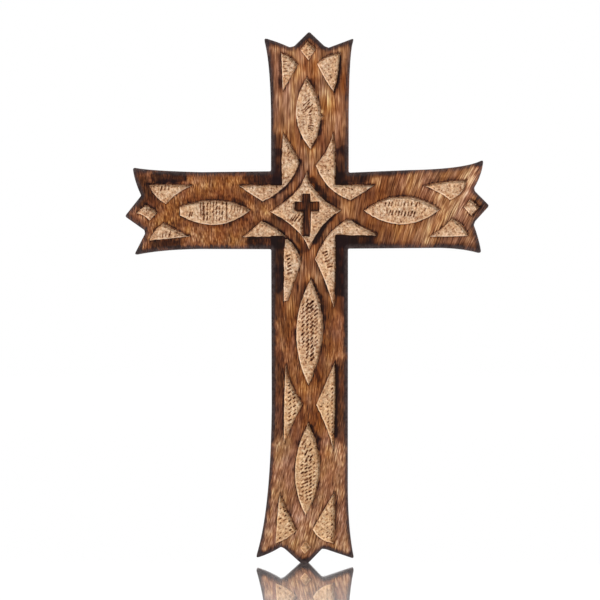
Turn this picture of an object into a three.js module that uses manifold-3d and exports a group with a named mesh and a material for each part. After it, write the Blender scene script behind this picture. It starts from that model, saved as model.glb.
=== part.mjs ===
// A wooden wall cross, carved in low relief and hung from a keyhole plate in its back.
// Millimetres. The origin is the crossing's centre on the back face: +X is the right arm as
// seen from the front, +Z is up, and the wall is on the +Y side, so the carving faces -Y.
import * as THREE from 'three';
import { mergeVertices } from 'three/addons/utils/BufferGeometryUtils.js';
import Module from 'manifold-3d';

const wasm = await Module();
wasm.setup();

// Boards
const board_thickness = 15;
const upright_width = 44.4;
const arm_width = 44.4;
const edge_ease = 0.5;

// From the crossing's centre to the sharp tip of each end's middle point
const top_reach = 102.3;
const right_reach = 102.8;
const bottom_reach = 203.4;
const left_reach = 105.9;

// Corners of the outline are worn round by this much along each side
const point_softness = 1.4;
const horn_softness = 1.8;
const notch_softness = 0.5;
const flat_softness = 0.8;
const inner_corner_softness = 0.9;

// Carving
const carve_depth = 2;
const border = 7.2;

// Joinery: two dowels hold each arm to the upright
const dowel_diameter = 6;
const dowel_length = 30;
const dowel_spacing = 26;
const dowel_chamfer = 0.8;
const dowel_flutes = 12;
const flute_depth = 0.25;
const dowel_clearance = 0.15;
const dowel_end_room = 0.8;

// Keyhole hanger, let into the back of the top arm, its middle this far below the top point
const hanger_drop = 36.3;
const hanger_length = 42;
const hanger_width = 16;
const hanger_thickness = 1.5;
const hanger_inset = 0.3;
const hanger_side_gap = 0.3;
const entry_hole_diameter = 9;
const slot_width = 5;
const slot_travel = 9;
const entry_drop = 4;
const nail_room_side = 1.5;
const nail_room_depth = 5;

// Countersunk wood screws of the hanger
const screw_spacing = 33;
const screw_length = 10;
const screw_diameter = 3;
const screw_head_diameter = 5.6;
const screw_head_height = 1.3;
const screw_point_length = 2.5;
const screw_clearance = 0.15;

const cut_overrun = 1;
const weld_distance = 1e-5;
const curve_steps = 8;
const corner_steps = 4;
const round_steps = 24;

const half_upright = upright_width / 2;
const half_arm = arm_width / 2;
const hanger_height = top_reach - hanger_drop;

// The four ends, in the order clockwise from the top. Each is drawn in its own frame: u runs
// across, to the right of someone who looks out along the arm, and v runs outwards.
// Places along an end are given back from its tip, and the hand-cut differences are kept.
// A point that is worn flat has its flat's distance back from the tip and its half width.
const ends = [
  {
    reach: top_reach,
    half: half_upright,
    point_shift: -0.4,
    sides: [
      { waver: 0, flare: [49, 0], via: [19, 0.3], horn: [3.7, 4.1],
        notch: [[9, 11.5], [8.4, 8.9]], end_bow: 0.3 },
      { waver: 0.1, flare: [47.3, 0.1], via: [12.3, 0.4], horn: [3.8, 3.2],
        notch: [[9.3, 10.7], [8.3, 8.3]], end_bow: 0 },
    ],
    diamond: [[5.3, -0.9], [9.9, 3.7], [16.5, -0.7], [10.3, -5.5]],
    triangles: [
      { outer: [12.1, -1.3], apex: [18.6, 6.7], root: [34.1, -0.4], bows: [1.1, 0, 0] },
      { outer: [12.1, -2.5], apex: [18.5, 4.2], root: [34.7, 1.1], bows: [1.5, 0.5, 1.1] },
    ],
  },
  {
    reach: right_reach,
    half: half_arm,
    point_shift: -2.6,
    sides: [
      { waver: -0.7, flare: [45.8, 0.8], via: [14.8, 1.4], horn: [3.4, 6.8],
        notch: [[8.7, 12.8], [8.3, 10.9]], end_bow: 0.9 },
      { waver: -0.3, flare: [30.8, -0.7], via: [16.8, -0.8], horn: [4.6, 2.5],
        notch: [[8.9, 8.5], [8.1, 6.3]], end_bow: 0.4 },
    ],
    diamond: [[5.2, -2.2], [10.2, 3.3], [14.7, -1.9], [10.6, -6.6]],
    triangles: [
      { outer: [12.9, -2.4], apex: [22.6, 6], root: [37.9, 0.8], bows: [2.2, -0.7, 0.8] },
      { outer: [11.8, 0.4], apex: [21, 4.4], root: [34.3, 0], bows: [1.4, -0.5, 0.3] },
    ],
  },
  {
    reach: bottom_reach,
    half: half_upright,
    point_shift: 3,
    flat: [1.3, 2],
    sides: [
      { waver: -0.3, flare: [45.4, -0.4], via: [21.4, -0.3], horn: [3.9, 3.2],
        notch: [[9.4, 9.1], [9.6, 7]], end_bow: 0 },
      { waver: -0.1, flare: [93.4, -0.4], via: [33.4, 0], horn: [4.3, 8.7],
        notch: [[10.7, 16.5], [9.8, 14.5]], end_bow: 0.5 },
    ],
    diamond: [[6.4, 2.8], [10.1, 5.9], [14.2, 2.7], [10.3, -0.9]],
    triangles: [
      { outer: [12.8, 1.4], apex: [20.9, 1.6], root: [42.4, 0.7], bows: [1.8, 0, 0.6] },
      { outer: [12.9, -4.5], apex: [20.6, 7.2], root: [41.7, -2], bows: [1, -0.3, 0.4] },
    ],
  },
  {
    reach: left_reach,
    half: half_arm,
    point_shift: -3.5,
    sides: [
      { waver: 0, flare: [43.9, -0.1], via: [21.9, 0.1], horn: [5.4, 3.4],
        notch: [[11.6, 13.4], [11.2, 11.4]], end_bow: 0 },
      { waver: 0.1, flare: [43.9, -0.4], via: [15.9, 0.3], horn: [4.5, 2.3],
        notch: [[9.4, 8.4]], end_bow: 0.6 },
    ],
    diamond: [[6.7, -1.7], [12.4, 3.8], [18.8, -1], [14.2, -6]],
    diamond_bows: [0, 0, 0, -0.8],
    triangles: [
      { outer: [14.2, -2.3], apex: [22.7, 7.1], root: [37.9, 0.2], bows: [1.2, -0.4, 0.1] },
      { outer: [13.4, -0.2], apex: [23.6, 3.6], root: [39.2, 0.5], bows: [1.4, -1, 0.2] },
    ],
  },
];
const [top_end, right_end, bottom_end, left_end] = ends;

// Leaf-shaped recesses down the middle of each arm: inner and outer tip as [place along, u],
// with the bow of the side at low u and at high u, and where along the leaf each is fullest.
// A place along is out from the crossing's centre, or back from the end's tip.
const out = (distance) => ({ from_centre: distance });
const back = (distance) => ({ from_tip: distance });
const leaves = [
  { end: top_end, inner: [out(35), 0.5], outer: [back(26), -1.5],
    bows: [7.3, 6.9], fullest: [0.47, 0.47] },
  { end: right_end, inner: [out(31), 0.2], outer: [back(28), -0.6],
    bows: [8, 8.2], fullest: [0.5, 0.5] },
  { end: bottom_end, inner: [out(39.1), -0.8], outer: [back(103.3), 0.7],
    bows: [7.5, 7.7], fullest: [0.43, 0.5] },
  { end: bottom_end, inner: [back(81.9), 0.6], outer: [back(28.8), 2.4],
    bows: [7.4, 6.9], fullest: [0.5, 0.53] },
  { end: left_end, inner: [out(33.8), 0.3], outer: [back(31.7), -2.9], blunt_to: 2.3,
    bows: [7, 4.6], fullest: [0.48, 0.42] },
];
// A slip of the chisel on the high-u side of the top leaf, as [out from the centre, u]
const leaf_spur = [[48.9, 0.5], [53.9, 8], [62.3, 0.5]];

// Wedges on both sides of the shaft between its two leaves: [back from the tip, u] of each
// corner, where u is in from the side line beyond the border, or out from the middle.
const wedges = [
  { side: -1, root: [117.1, 0.3], apex: [91.9, 3.7], foot: [66.5, 1.5],
    bows: [0, -0.8, 0.9] },
  { side: 1, root: [115.4, 1.4], knee: [101.9, 9.4], apex: [92.7, 3.9], foot: [69.6, 0.3],
    bows: [0, 0, -0.5, 0.5] },
];

// Recesses round the four inner corners. x is in from the upright's side line beyond the
// border where it follows that line (edge_x), and out from the centre elsewhere; z likewise.
const corner_recesses = [
  { side_x: -1, side_z: 1, edge: [-1.1, 0.1], arm_tip: [40.8, 0.6], arm_kink: [27, 5.1],
    kink: [5.4, 27.6], tip: [0, 44.4], bows: [0, 0.2, 3.5, 0.2, 0.6] },
  { side_x: 1, side_z: 1, edge: [-0.1, 0], arm_tip: [37.3, 0.3], arm_kink: [23.3, 5.7],
    kink: [3.5, 25.9], knee: [8.3, 32.3], tip: [1.5, 44.5], bows: [0, 0.2, 3.4, 0, 0, 0.8] },
  { side_x: 1, side_z: -1, edge: [-0.1, 0.6], arm_tip: [37.9, 0.6], arm_end: [38.1, 12.9],
    arm_kink: [23.8, 5.3], arm_flat: [21.1, 5.3], kink: [3.2, 28.2], tip: [1.2, 55.8],
    bows: [0, 0, -0.4, 0, 2.7, -0.7, 0.7] },
];
// The lower left corner's recess is cut as two, with a thin ridge between them
const ridge_arm_recess = { tip: [38.3, -0.3], apex: [27.2, 5.7], heel: [13, 0],
  bows: [-0.2, 0.7, 0] };
const ridge_shaft_recess = { head: [[0.6, 15.8], [2.6, 16]], kink: [4.7, 28.9],
  foot: [[2.5, 51.5], [0.2, 52]], bows: [0, 1.3, 0, 0, 0.3] };

// Centre: a recess with four hollow sides, and a small plain cross left standing in it
const star_tips = [[-23, -0.8], [-1.5, 22.3], [18.1, 0.2], [-0.3, -22.5]];
const star_bows = [[-2.9, 0.62], [-3.4, 0.42], [-2.2, 0.5], [-3.1, 0.38]];
const small_cross = [[-4.3, 9.4], [0.3, 9.4], [0.4, 5], [5.5, 5], [5.5, -0.4], [0.9, -0.4],
  [0.2, -14.3], [-4.3, -14.3], [-3.2, -0.2], [-8.3, -0.2], [-8.3, 5], [-4.3, 5]];

// A point of an end's own frame, as [x, z] of the whole cross
function place(end, u, v) {
  const turns = [[u, v], [v, -u], [-u, -v], [-v, u]];
  return turns[ends.indexOf(end)];
}

function along(end, where) {
  return where.from_tip === undefined ? where.from_centre : end.reach - where.from_tip;
}

function stepped(from, towards, distance) {
  const length = Math.hypot(towards[0] - from[0], towards[1] - from[1]);
  const share = distance / length;
  return [from[0] + (towards[0] - from[0]) * share, from[1] + (towards[1] - from[1]) * share];
}

// The middle control point of a side that bows by bow to the left of its direction
function bowed(from, to, bow, fullest = 0.5) {
  const run = [to[0] - from[0], to[1] - from[1]];
  const length = Math.hypot(run[0], run[1]);
  return [
    from[0] + run[0] * fullest - (run[1] / length) * 2 * bow,
    from[1] + run[1] * fullest + (run[0] / length) * 2 * bow,
  ];
}

// The stations of one end, from its low-u root to its high-u root
function end_stations(end) {
  const stations = [];
  const [low, high] = end.sides;
  const at = (sign, [from_tip, extra]) => (
    place(end, sign * (end.half + extra), end.reach - from_tip));
  const notch_at = (sign, [from_tip, u]) => place(end, sign * u, end.reach - from_tip);

  stations.push({ at: at(-1, low.flare), soft: 0 });
  stations.push({ at: at(-1, low.horn), via: at(-1, low.via), soft: horn_softness });
  const low_notch = notch_at(-1, low.notch[0]);
  const low_end = bowed(at(-1, low.horn), low_notch, low.end_bow);
  stations.push({ at: low_notch, via: low_end, soft: notch_softness });
  low.notch.slice(1).forEach((corner) => {
    stations.push({ at: notch_at(-1, corner), soft: notch_softness });
  });
  if (end.flat) {
    const [flat_back, flat_half] = end.flat;
    [-flat_half, flat_half].forEach((u) => {
      const at_flat = place(end, end.point_shift + u, end.reach - flat_back);
      stations.push({ at: at_flat, soft: flat_softness });
    });
  } else {
    stations.push({ at: place(end, end.point_shift, end.reach), soft: point_softness });
  }
  high.notch.slice(1).forEach((corner) => {
    stations.push({ at: notch_at(1, corner), soft: notch_softness });
  });
  const high_notch = notch_at(1, high.notch[0]);
  stations.push({ at: high_notch, soft: notch_softness });
  const high_end = bowed(high_notch, at(1, high.horn), high.end_bow);
  stations.push({ at: at(1, high.horn), via: high_end, soft: horn_softness });
  stations.push({ at: at(1, high.flare), via: at(1, high.via), soft: 0 });
  return stations;
}

// The inner corner between one end's high-u side and the next end's low-u side
function inner_corner(end, next) {
  const u = end.half + end.sides[1].waver;
  const v = next.half + next.sides[0].waver;
  return { at: place(end, u, v), soft: inner_corner_softness };
}

// The points of a curve after its first one
function curve_points(from, middle, to, steps) {
  const [start, control, finish] = [from, middle, to].map(([x, z]) => new THREE.Vector2(x, z));
  const curve = new THREE.QuadraticBezierCurve(start, control, finish);
  return curve.getPoints(steps).slice(1).map((point) => point.toArray());
}

function cross_outline() {
  const stations = [];
  ends.forEach((end, index) => {
    stations.push(inner_corner(ends[(index + 3) % 4], end));
    stations.push(...end_stations(end));
  });
  const points = [];
  stations.forEach((station, index) => {
    const before = stations[(index + stations.length - 1) % stations.length];
    const after = stations[(index + 1) % stations.length];
    const arrive = stepped(station.at, station.via ?? before.at, station.soft);
    const leave = stepped(station.at, after.via ?? after.at, station.soft);
    if (station.via) {
      points.push(...curve_points(points.at(-1), station.via, arrive, curve_steps));
    } else {
      points.push(arrive);
    }
    if (station.soft > 0) {
      points.push(...curve_points(arrive, station.at, leave, corner_steps));
    }
  });
  return new THREE.Shape(points.map(([x, z]) => new THREE.Vector2(x, z)));
}

// A closed shape through its corners. A side bows outwards by its bow, or inwards if that is
// negative, and is fullest at the share of its length that comes with the bow.
function bowed_shape(corners, bows = []) {
  const points = corners.map(([x, z]) => new THREE.Vector2(x, z));
  const outward = THREE.ShapeUtils.area(points) > 0 ? -1 : 1;
  const shape = new THREE.Shape();
  shape.moveTo(...corners[0]);
  corners.forEach((corner, index) => {
    const next = corners[(index + 1) % corners.length];
    const [bow, fullest] = [bows[index] ?? 0].flat();
    if (bow === 0) {
      shape.lineTo(...next);
    } else {
      shape.quadraticCurveTo(...bowed(corner, next, outward * bow, fullest), ...next);
    }
  });
  return shape;
}

// How far from the middle of a member of this half width a straight recess edge lies
const edge_line = (half, extra) => half - border - extra;

function end_triangle(end, index) {
  const side = index === 0 ? -1 : 1;
  const { outer, apex, root, bows } = end.triangles[index];
  const corners = [
    place(end, side * edge_line(end.half, outer[1]), end.reach - outer[0]),
    place(end, side * apex[1], end.reach - apex[0]),
    place(end, side * edge_line(end.half, root[1]), end.reach - root[0]),
  ];
  return bowed_shape(corners, bows);
}

function end_diamond(end) {
  const corners = end.diamond.map(([from_tip, u]) => place(end, u, end.reach - from_tip));
  return bowed_shape(corners, end.diamond_bows);
}

function leaf_shape(leaf) {
  const { end, inner, outer, bows, fullest } = leaf;
  const tip_in = place(end, inner[1], along(end, inner[0]));
  const tip_out = place(end, outer[1], along(end, outer[0]));
  const corners = [tip_in, tip_out];
  const sides = [[bows[0], fullest[0]], [bows[1], 1 - fullest[1]]];
  if (leaf.blunt_to !== undefined) {
    corners.push(place(end, leaf.blunt_to, along(end, outer[0])));
    sides.splice(1, 0, 0);
  }
  return two_sided(corners, sides);
}

// A leaf has two corners, so its own sides say which way is outwards
function two_sided(corners, sides) {
  const shape = new THREE.Shape();
  shape.moveTo(...corners[0]);
  corners.forEach((corner, index) => {
    const next = corners[(index + 1) % corners.length];
    const [bow, fullest] = [sides[index]].flat();
    if (bow === 0) {
      shape.lineTo(...next);
    } else {
      shape.quadraticCurveTo(...bowed(corner, next, bow, fullest), ...next);
    }
  });
  return shape;
}

function wedge_shape({ side, root, knee, apex, foot, bows }) {
  const end = bottom_end;
  const on_edge = ([from_tip, extra]) => (
    place(end, side * edge_line(end.half, extra), end.reach - from_tip));
  const from_middle = ([from_tip, u]) => place(end, side * u, end.reach - from_tip);
  const middle = [knee, apex].filter((corner) => corner !== undefined).map(from_middle);
  return bowed_shape([on_edge(root), ...middle, on_edge(foot)], bows);
}

function corner_recess_shape(recess) {
  const { side_x, side_z, edge, arm_tip, arm_end, arm_kink, arm_flat } = recess;
  const { kink, knee, tip, bows } = recess;
  const point = (x, z) => [side_x * x, side_z * z];
  const from_centre = (corner) => point(...corner);
  const given = (corners) => corners.filter((corner) => corner !== undefined).map(from_centre);
  const corners = [
    point(edge_line(half_upright, edge[0]), edge_line(half_arm, edge[1])),
    point(arm_tip[0], edge_line(half_arm, arm_tip[1])),
    ...given([arm_end, arm_kink, arm_flat, kink, knee]),
    point(edge_line(half_upright, tip[0]), tip[1]),
  ];
  return bowed_shape(corners, bows);
}

function ridge_arm_shape({ tip, apex, heel, bows }) {
  const corners = [
    [-tip[0], -edge_line(half_arm, tip[1])],
    [-apex[0], -apex[1]],
    [-heel[0], -edge_line(half_arm, heel[1])],
  ];
  return bowed_shape(corners, bows);
}

function ridge_shaft_shape({ head, kink, foot, bows }) {
  const on_edge = ([extra, z]) => [-edge_line(half_upright, extra), -z];
  const corners = [
    ...head.map(on_edge),
    [-kink[0], -kink[1]],
    ...foot.map(on_edge),
  ];
  return bowed_shape(corners, bows);
}

// Solids
function solid(geometry) {
  geometry.deleteAttribute('normal');
  geometry.deleteAttribute('uv');
  const merged = mergeVertices(geometry, weld_distance);
  return new wasm.Manifold(new wasm.Mesh({
    numProp: 3,
    vertProperties: merged.attributes.position.array,
    triVerts: new Uint32Array(merged.index.array),
  }));
}

function joined(solids) {
  return solids.reduce((whole, piece) => whole.add(piece));
}

// A shape of the x-z plane as a slab from near to far, both measured forward from the back
function slab(shape, near, far, ease = 0) {
  const geometry = new THREE.ExtrudeGeometry(shape, {
    depth: far - near - 2 * ease,
    curveSegments: curve_steps,
    bevelEnabled: ease > 0,
    bevelThickness: ease,
    bevelSize: ease,
    bevelOffset: -ease,
    bevelSegments: 2,
  });
  geometry.translate(0, 0, near + ease);
  geometry.rotateX(Math.PI / 2);
  return solid(geometry);
}

function carving() {
  const floor = board_thickness - carve_depth;
  const past_front = board_thickness + cut_overrun;
  const shapes = [
    ...ends.flatMap((end) => [end_triangle(end, 0), end_triangle(end, 1), end_diamond(end)]),
    ...leaves.map(leaf_shape),
    bowed_shape(leaf_spur.map(([distance, u]) => place(top_end, u, distance))),
    ...wedges.map(wedge_shape),
    ...corner_recesses.map(corner_recess_shape),
    ridge_arm_shape(ridge_arm_recess),
    ridge_shaft_shape(ridge_shaft_recess),
  ];
  const star = slab(bowed_shape(star_tips, star_bows), floor, past_front);
  const island = slab(bowed_shape(small_cross), floor - cut_overrun, past_front + cut_overrun);
  return joined([...shapes.map((shape) => slab(shape, floor, past_front)),
    star.subtract(island)]);
}

// Dowels lie along X at half the boards' thickness, across each glue joint
function dowel_places() {
  const places = [];
  [['left', -1], ['right', 1]].forEach(([side, sign]) => {
    [['upper', 1], ['lower', -1]].forEach(([level, up]) => {
      places.push({
        name: `dowel_${side}_${level}`,
        at: [sign * half_upright, -board_thickness / 2, up * dowel_spacing / 2],
      });
    });
  });
  return places;
}

function dowel_geometry() {
  const outer_radius = dowel_diameter / 2;
  const section = new THREE.Shape();
  const corners = [];
  for (let step = 0; step < 2 * dowel_flutes; step += 1) {
    const radius = step % 2 === 0 ? outer_radius : outer_radius - flute_depth;
    const angle = (step * Math.PI) / dowel_flutes;
    corners.push(new THREE.Vector2(radius * Math.cos(angle), radius * Math.sin(angle)));
  }
  section.setFromPoints(corners);
  const geometry = new THREE.ExtrudeGeometry(section, {
    depth: dowel_length - 2 * dowel_chamfer,
    bevelEnabled: true,
    bevelThickness: dowel_chamfer,
    bevelSize: dowel_chamfer,
    bevelOffset: -dowel_chamfer,
    bevelSegments: 1,
  });
  geometry.translate(0, 0, dowel_chamfer - dowel_length / 2);
  geometry.rotateY(Math.PI / 2);
  return geometry;
}

function dowel_bores() {
  const radius = dowel_diameter / 2 + dowel_clearance;
  const length = dowel_length + 2 * dowel_end_room;
  return joined(dowel_places().map(({ at }) => {
    const geometry = new THREE.CylinderGeometry(radius, radius, length, round_steps);
    geometry.rotateZ(Math.PI / 2);
    geometry.translate(...at);
    return solid(geometry);
  }));
}

// A rounded bar standing upright in the x-z plane
function upright_bar(length, width) {
  const radius = width / 2;
  const reach = length / 2 - radius;
  const shape = new THREE.Shape();
  shape.absarc(0, hanger_height + reach, radius, 0, Math.PI, false);
  shape.absarc(0, hanger_height - reach, radius, Math.PI, 2 * Math.PI, false);
  return shape;
}

const hanger_front = hanger_inset + hanger_thickness;
const entry_centre = hanger_height - entry_drop;

// The entry hole with the slot above it
function keyhole_cut() {
  const hole = new THREE.Shape();
  hole.absarc(0, entry_centre, entry_hole_diameter / 2, 0, 2 * Math.PI, false);
  const slot_radius = slot_width / 2;
  const slot = new THREE.Shape();
  slot.moveTo(-slot_radius, entry_centre);
  slot.lineTo(slot_radius, entry_centre);
  slot.absarc(0, entry_centre + slot_travel, slot_radius, 0, Math.PI, false);
  return joined([hole, slot].map((shape) => (
    slab(shape, hanger_inset - cut_overrun, hanger_front + cut_overrun))));
}

function screw_places() {
  return [
    { name: 'hanger_screw_upper', height: hanger_height + screw_spacing / 2 },
    { name: 'hanger_screw_lower', height: hanger_height - screw_spacing / 2 },
  ];
}

// Turned about Y, from a profile of [radius, y] that runs from the point of the screw back
function turned(profile) {
  return new THREE.LatheGeometry(
    profile.map(([radius, y]) => new THREE.Vector2(radius, y)), round_steps);
}

const screw_shank_end = screw_point_length - screw_length;

function screw_geometry() {
  const shank = screw_diameter / 2;
  return turned([[0, -screw_length], [shank, screw_shank_end], [shank, -screw_head_height],
    [screw_head_diameter / 2, 0], [0, 0]]);
}

// The screws' holes, countersunk and open at the back
function screw_holes() {
  const shank = screw_diameter / 2 + screw_clearance;
  const head = screw_head_diameter / 2 + screw_clearance;
  return joined(screw_places().map(({ height }) => {
    const geometry = turned([[0, -screw_length - screw_clearance],
      [shank, screw_shank_end - screw_clearance], [shank, -screw_head_height], [head, 0],
      [head, hanger_front], [0, hanger_front]]);
    geometry.translate(0, -hanger_inset, height);
    return solid(geometry);
  }));
}

function hanger() {
  const plate = slab(upright_bar(hanger_length, hanger_width), hanger_inset, hanger_front);
  return plate.subtract(keyhole_cut()).subtract(screw_holes());
}

// Room in the wood for the plate, and behind its keyhole for the head of a wall nail
function hanger_pocket() {
  const length = hanger_length + 2 * hanger_side_gap;
  const width = hanger_width + 2 * hanger_side_gap;
  const pocket = slab(upright_bar(length, width), -cut_overrun, hanger_front);
  const nail_radius = entry_hole_diameter / 2 + nail_room_side;
  const nail_room = new THREE.Shape();
  nail_room.absarc(0, entry_centre + slot_travel, nail_radius, 0, Math.PI, false);
  nail_room.absarc(0, entry_centre, nail_radius, Math.PI, 2 * Math.PI, false);
  return joined([pocket, slab(nail_room, -cut_overrun, hanger_front + nail_room_depth)]);
}

// The room an arm takes: beyond its glue joint, opening at 45 degrees from the inner corners
function arm_space(side) {
  const far = top_reach + bottom_reach;
  const shape = new THREE.Shape();
  shape.moveTo(side * half_upright, half_arm);
  shape.lineTo(side * far, half_arm + far);
  shape.lineTo(side * far, -half_arm - far);
  shape.lineTo(side * half_upright, -half_arm);
  return slab(shape, -cut_overrun, board_thickness + cut_overrun);
}

// The carved cross, cut apart along the two glue joints
function boards() {
  const whole = slab(cross_outline(), 0, board_thickness, edge_ease).subtract(carving());
  const bores = dowel_bores();
  const back_cuts = joined([hanger_pocket(), screw_holes()]);
  const left_space = arm_space(-1);
  const right_space = arm_space(1);
  return {
    upright: whole.subtract(left_space).subtract(right_space).subtract(bores)
      .subtract(back_cuts),
    left_arm: whole.intersect(left_space).subtract(bores),
    right_arm: whole.intersect(right_space).subtract(bores),
  };
}

function geometry_of(manifold) {
  const mesh = manifold.getMesh();
  const geometry = new THREE.BufferGeometry();
  geometry.setAttribute('position', new THREE.BufferAttribute(mesh.vertProperties, 3));
  geometry.setIndex(new THREE.BufferAttribute(mesh.triVerts, 1));
  geometry.computeVertexNormals();
  return geometry;
}

const stained_wood = () => new THREE.MeshStandardMaterial({
  color: 0x7d4f2c, roughness: 0.62, metalness: 0 });
const dowel_wood = () => new THREE.MeshStandardMaterial({
  color: 0xcfae7e, roughness: 0.75, metalness: 0 });
const plated_steel = () => new THREE.MeshStandardMaterial({
  color: 0xb9b7ae, roughness: 0.35, metalness: 1 });

const cross = new THREE.Group();

function add_piece(name, geometry, material, position = [0, 0, 0]) {
  const mesh = new THREE.Mesh(geometry, material);
  mesh.name = name;
  mesh.position.set(...position);
  cross.add(mesh);
}

const { upright, left_arm, right_arm } = boards();
add_piece('upright_board', geometry_of(upright), stained_wood());
add_piece('left_arm_board', geometry_of(left_arm), stained_wood());
add_piece('right_arm_board', geometry_of(right_arm), stained_wood());
dowel_places().forEach(({ name, at }) => {
  add_piece(name, dowel_geometry(), dowel_wood(), at);
});
add_piece('keyhole_hanger', geometry_of(hanger()), plated_steel());
screw_places().forEach(({ name, height }) => {
  add_piece(name, screw_geometry(), plated_steel(), [0, -hanger_inset, height]);
});

export default cross;
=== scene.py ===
import math

import bmesh
import bpy
import numpy as np
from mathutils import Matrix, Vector, noise
from mathutils.geometry import delaunay_2d_cdt


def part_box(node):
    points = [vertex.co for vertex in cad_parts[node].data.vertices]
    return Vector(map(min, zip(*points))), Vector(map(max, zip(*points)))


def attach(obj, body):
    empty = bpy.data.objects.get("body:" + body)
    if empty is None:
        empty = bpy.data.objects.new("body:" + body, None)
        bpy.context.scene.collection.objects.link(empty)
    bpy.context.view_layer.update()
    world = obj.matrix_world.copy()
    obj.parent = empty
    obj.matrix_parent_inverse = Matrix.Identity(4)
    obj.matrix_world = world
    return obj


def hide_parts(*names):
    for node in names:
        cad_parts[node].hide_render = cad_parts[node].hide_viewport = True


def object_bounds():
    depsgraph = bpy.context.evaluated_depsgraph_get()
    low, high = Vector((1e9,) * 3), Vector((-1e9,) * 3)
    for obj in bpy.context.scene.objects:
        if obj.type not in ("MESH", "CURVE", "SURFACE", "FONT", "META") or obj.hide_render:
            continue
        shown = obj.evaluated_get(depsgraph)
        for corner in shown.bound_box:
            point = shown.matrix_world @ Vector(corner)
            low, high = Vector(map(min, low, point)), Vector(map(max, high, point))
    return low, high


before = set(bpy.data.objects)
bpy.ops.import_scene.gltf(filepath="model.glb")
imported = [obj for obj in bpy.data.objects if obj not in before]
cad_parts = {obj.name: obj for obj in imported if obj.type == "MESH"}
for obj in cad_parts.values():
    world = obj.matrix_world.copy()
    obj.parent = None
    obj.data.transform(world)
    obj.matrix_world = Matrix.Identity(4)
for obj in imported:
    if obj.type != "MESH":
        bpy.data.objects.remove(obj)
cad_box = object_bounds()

# The carved wooden wall cross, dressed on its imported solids. Lengths are in millimetres up to
# the point where a mesh is made, and MM turns them into the scene's metres. A place on the
# cross is (x, z), as seen from the front.
MM = 0.001

BOARDS = {
    "upright_board": "carved_upright",
    "left_arm_board": "carved_left_arm",
    "right_arm_board": "carved_right_arm",
}
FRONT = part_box("upright_board")[0].y / MM
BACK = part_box("upright_board")[1].y / MM
JOINTS = (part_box("left_arm_board")[1].x / MM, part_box("right_arm_board")[0].x / MM)
HALF_ARM = 22.2
CAD_EASE = 0.5

# Shape of the worn, hand-cut surface
CARVE_DEPTH = 2.0
EDGE_ROUND = 0.6
WALL_LEAN = 0.45
WALL_BOW = 0.85
LIP_WEAR = 0.08
LIP_WEAR_WIDTH = 0.4
KNIFE_WAVER = 0.1
KNIFE_RATE = 0.45
SURFACE_WAVE = 0.05
GROUND_WAVE = 0.16
WAVE_EASE = 2

# Hills of the surfaces: size and seed
FACE_HILLS = (9, 1)
GROUND_HILLS = (2.2, 2)
BACK_HILLS = (14, 5)

# Spacing of the surface's points
GROUND_PITCH = 0.32
RAISED_PITCH = 0.75
BACK_PITCH = 2.4
CUT_PITCH = 0.36
OUTLINE_PITCH = 0.5
JOINT_PITCH = 0.5
SIDE_ROWS = 7
TURN_STEPS = 48
END_STEPS = 32
WELD = 0.01

# Rows of points beside the outline and the cuts, and how far off the even grids start
RIM_ROWS = (0.12, 0.3, 0.6, 1)
CUT_ROWS = (0.15, 0.3, 0.45)
BACK_ROWS = (0.12, 0.3, 0.6, 1.4)
GROUND_FROM_CUT = 0.62
RAISED_FROM_CUT = 0.8
RAISED_FROM_RIM = 1.2
BACK_FROM_RIM = 2.6

# How far from an edge its wear and shade can reach, and how deep the carved face goes
RIM_REACH = 9
LIP_REACH = 3
WALL_REACH = 2.2
FACE_DEPTH = CARVE_DEPTH + 1.2


def level_edges(node, depth, of_floor=False):
    """The edges of a CAD node at one depth, as pairs of (x, z): all, or those round a floor."""
    shape = bmesh.new()
    shape.from_mesh(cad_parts[node].data)
    bmesh.ops.remove_doubles(shape, verts=shape.verts, dist=WELD * MM / 10)
    shape.normal_update()
    found = []
    for edge in shape.edges:
        flat = [face.normal.y < -0.9 for face in edge.link_faces]
        level = all(abs(vert.co.y / MM - depth) < WELD for vert in edge.verts)
        if level and (flat.count(True) == 1 or not of_floor):
            found.append([(vert.co.x / MM, vert.co.z / MM) for vert in edge.verts])
    shape.free()
    return np.array(found)


def near_any(points, others):
    """Which of the points lie on one of the others."""
    gaps = np.linalg.norm(points[:, None] - others[None], axis=2)
    return gaps.min(axis=1) < WELD


def counterclockwise(loop):
    following = np.roll(loop, -1, axis=0)
    area = (loop[:, 0] * following[:, 1] - following[:, 0] * loop[:, 1]).sum()
    return loop if area > 0 else loop[::-1]


def chained(edges):
    """Closed loops of points from loose edges."""
    waiting = np.ones(len(edges), bool)
    loops = []
    while waiting.any():
        first = int(np.flatnonzero(waiting)[0])
        waiting[first] = False
        loop = [edges[first, 0], edges[first, 1]]
        while np.linalg.norm(loop[-1] - loop[0]) > WELD:
            gaps = np.linalg.norm(edges - loop[-1], axis=2)
            gaps[~waiting] = np.inf
            edge, end = np.unravel_index(gaps.argmin(), gaps.shape)
            if gaps[edge, end] > WELD:
                raise ValueError(f"a loop is open at {loop[-1].round(3)}")
            waiting[edge] = False
            loop.append(edges[edge, 1 - end])
        loops.append(counterclockwise(np.array(loop[:-1])))
    return loops


def loose_ends(edges):
    """The two points where a chain of edges that isn't closed starts and ends, low one first."""
    points = edges.reshape(-1, 2)
    gaps = np.linalg.norm(points[:, None] - points[None], axis=2)
    ends = points[(gaps < WELD).sum(axis=1) == 1]
    return ends[np.argsort(ends[:, 1])]


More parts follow.
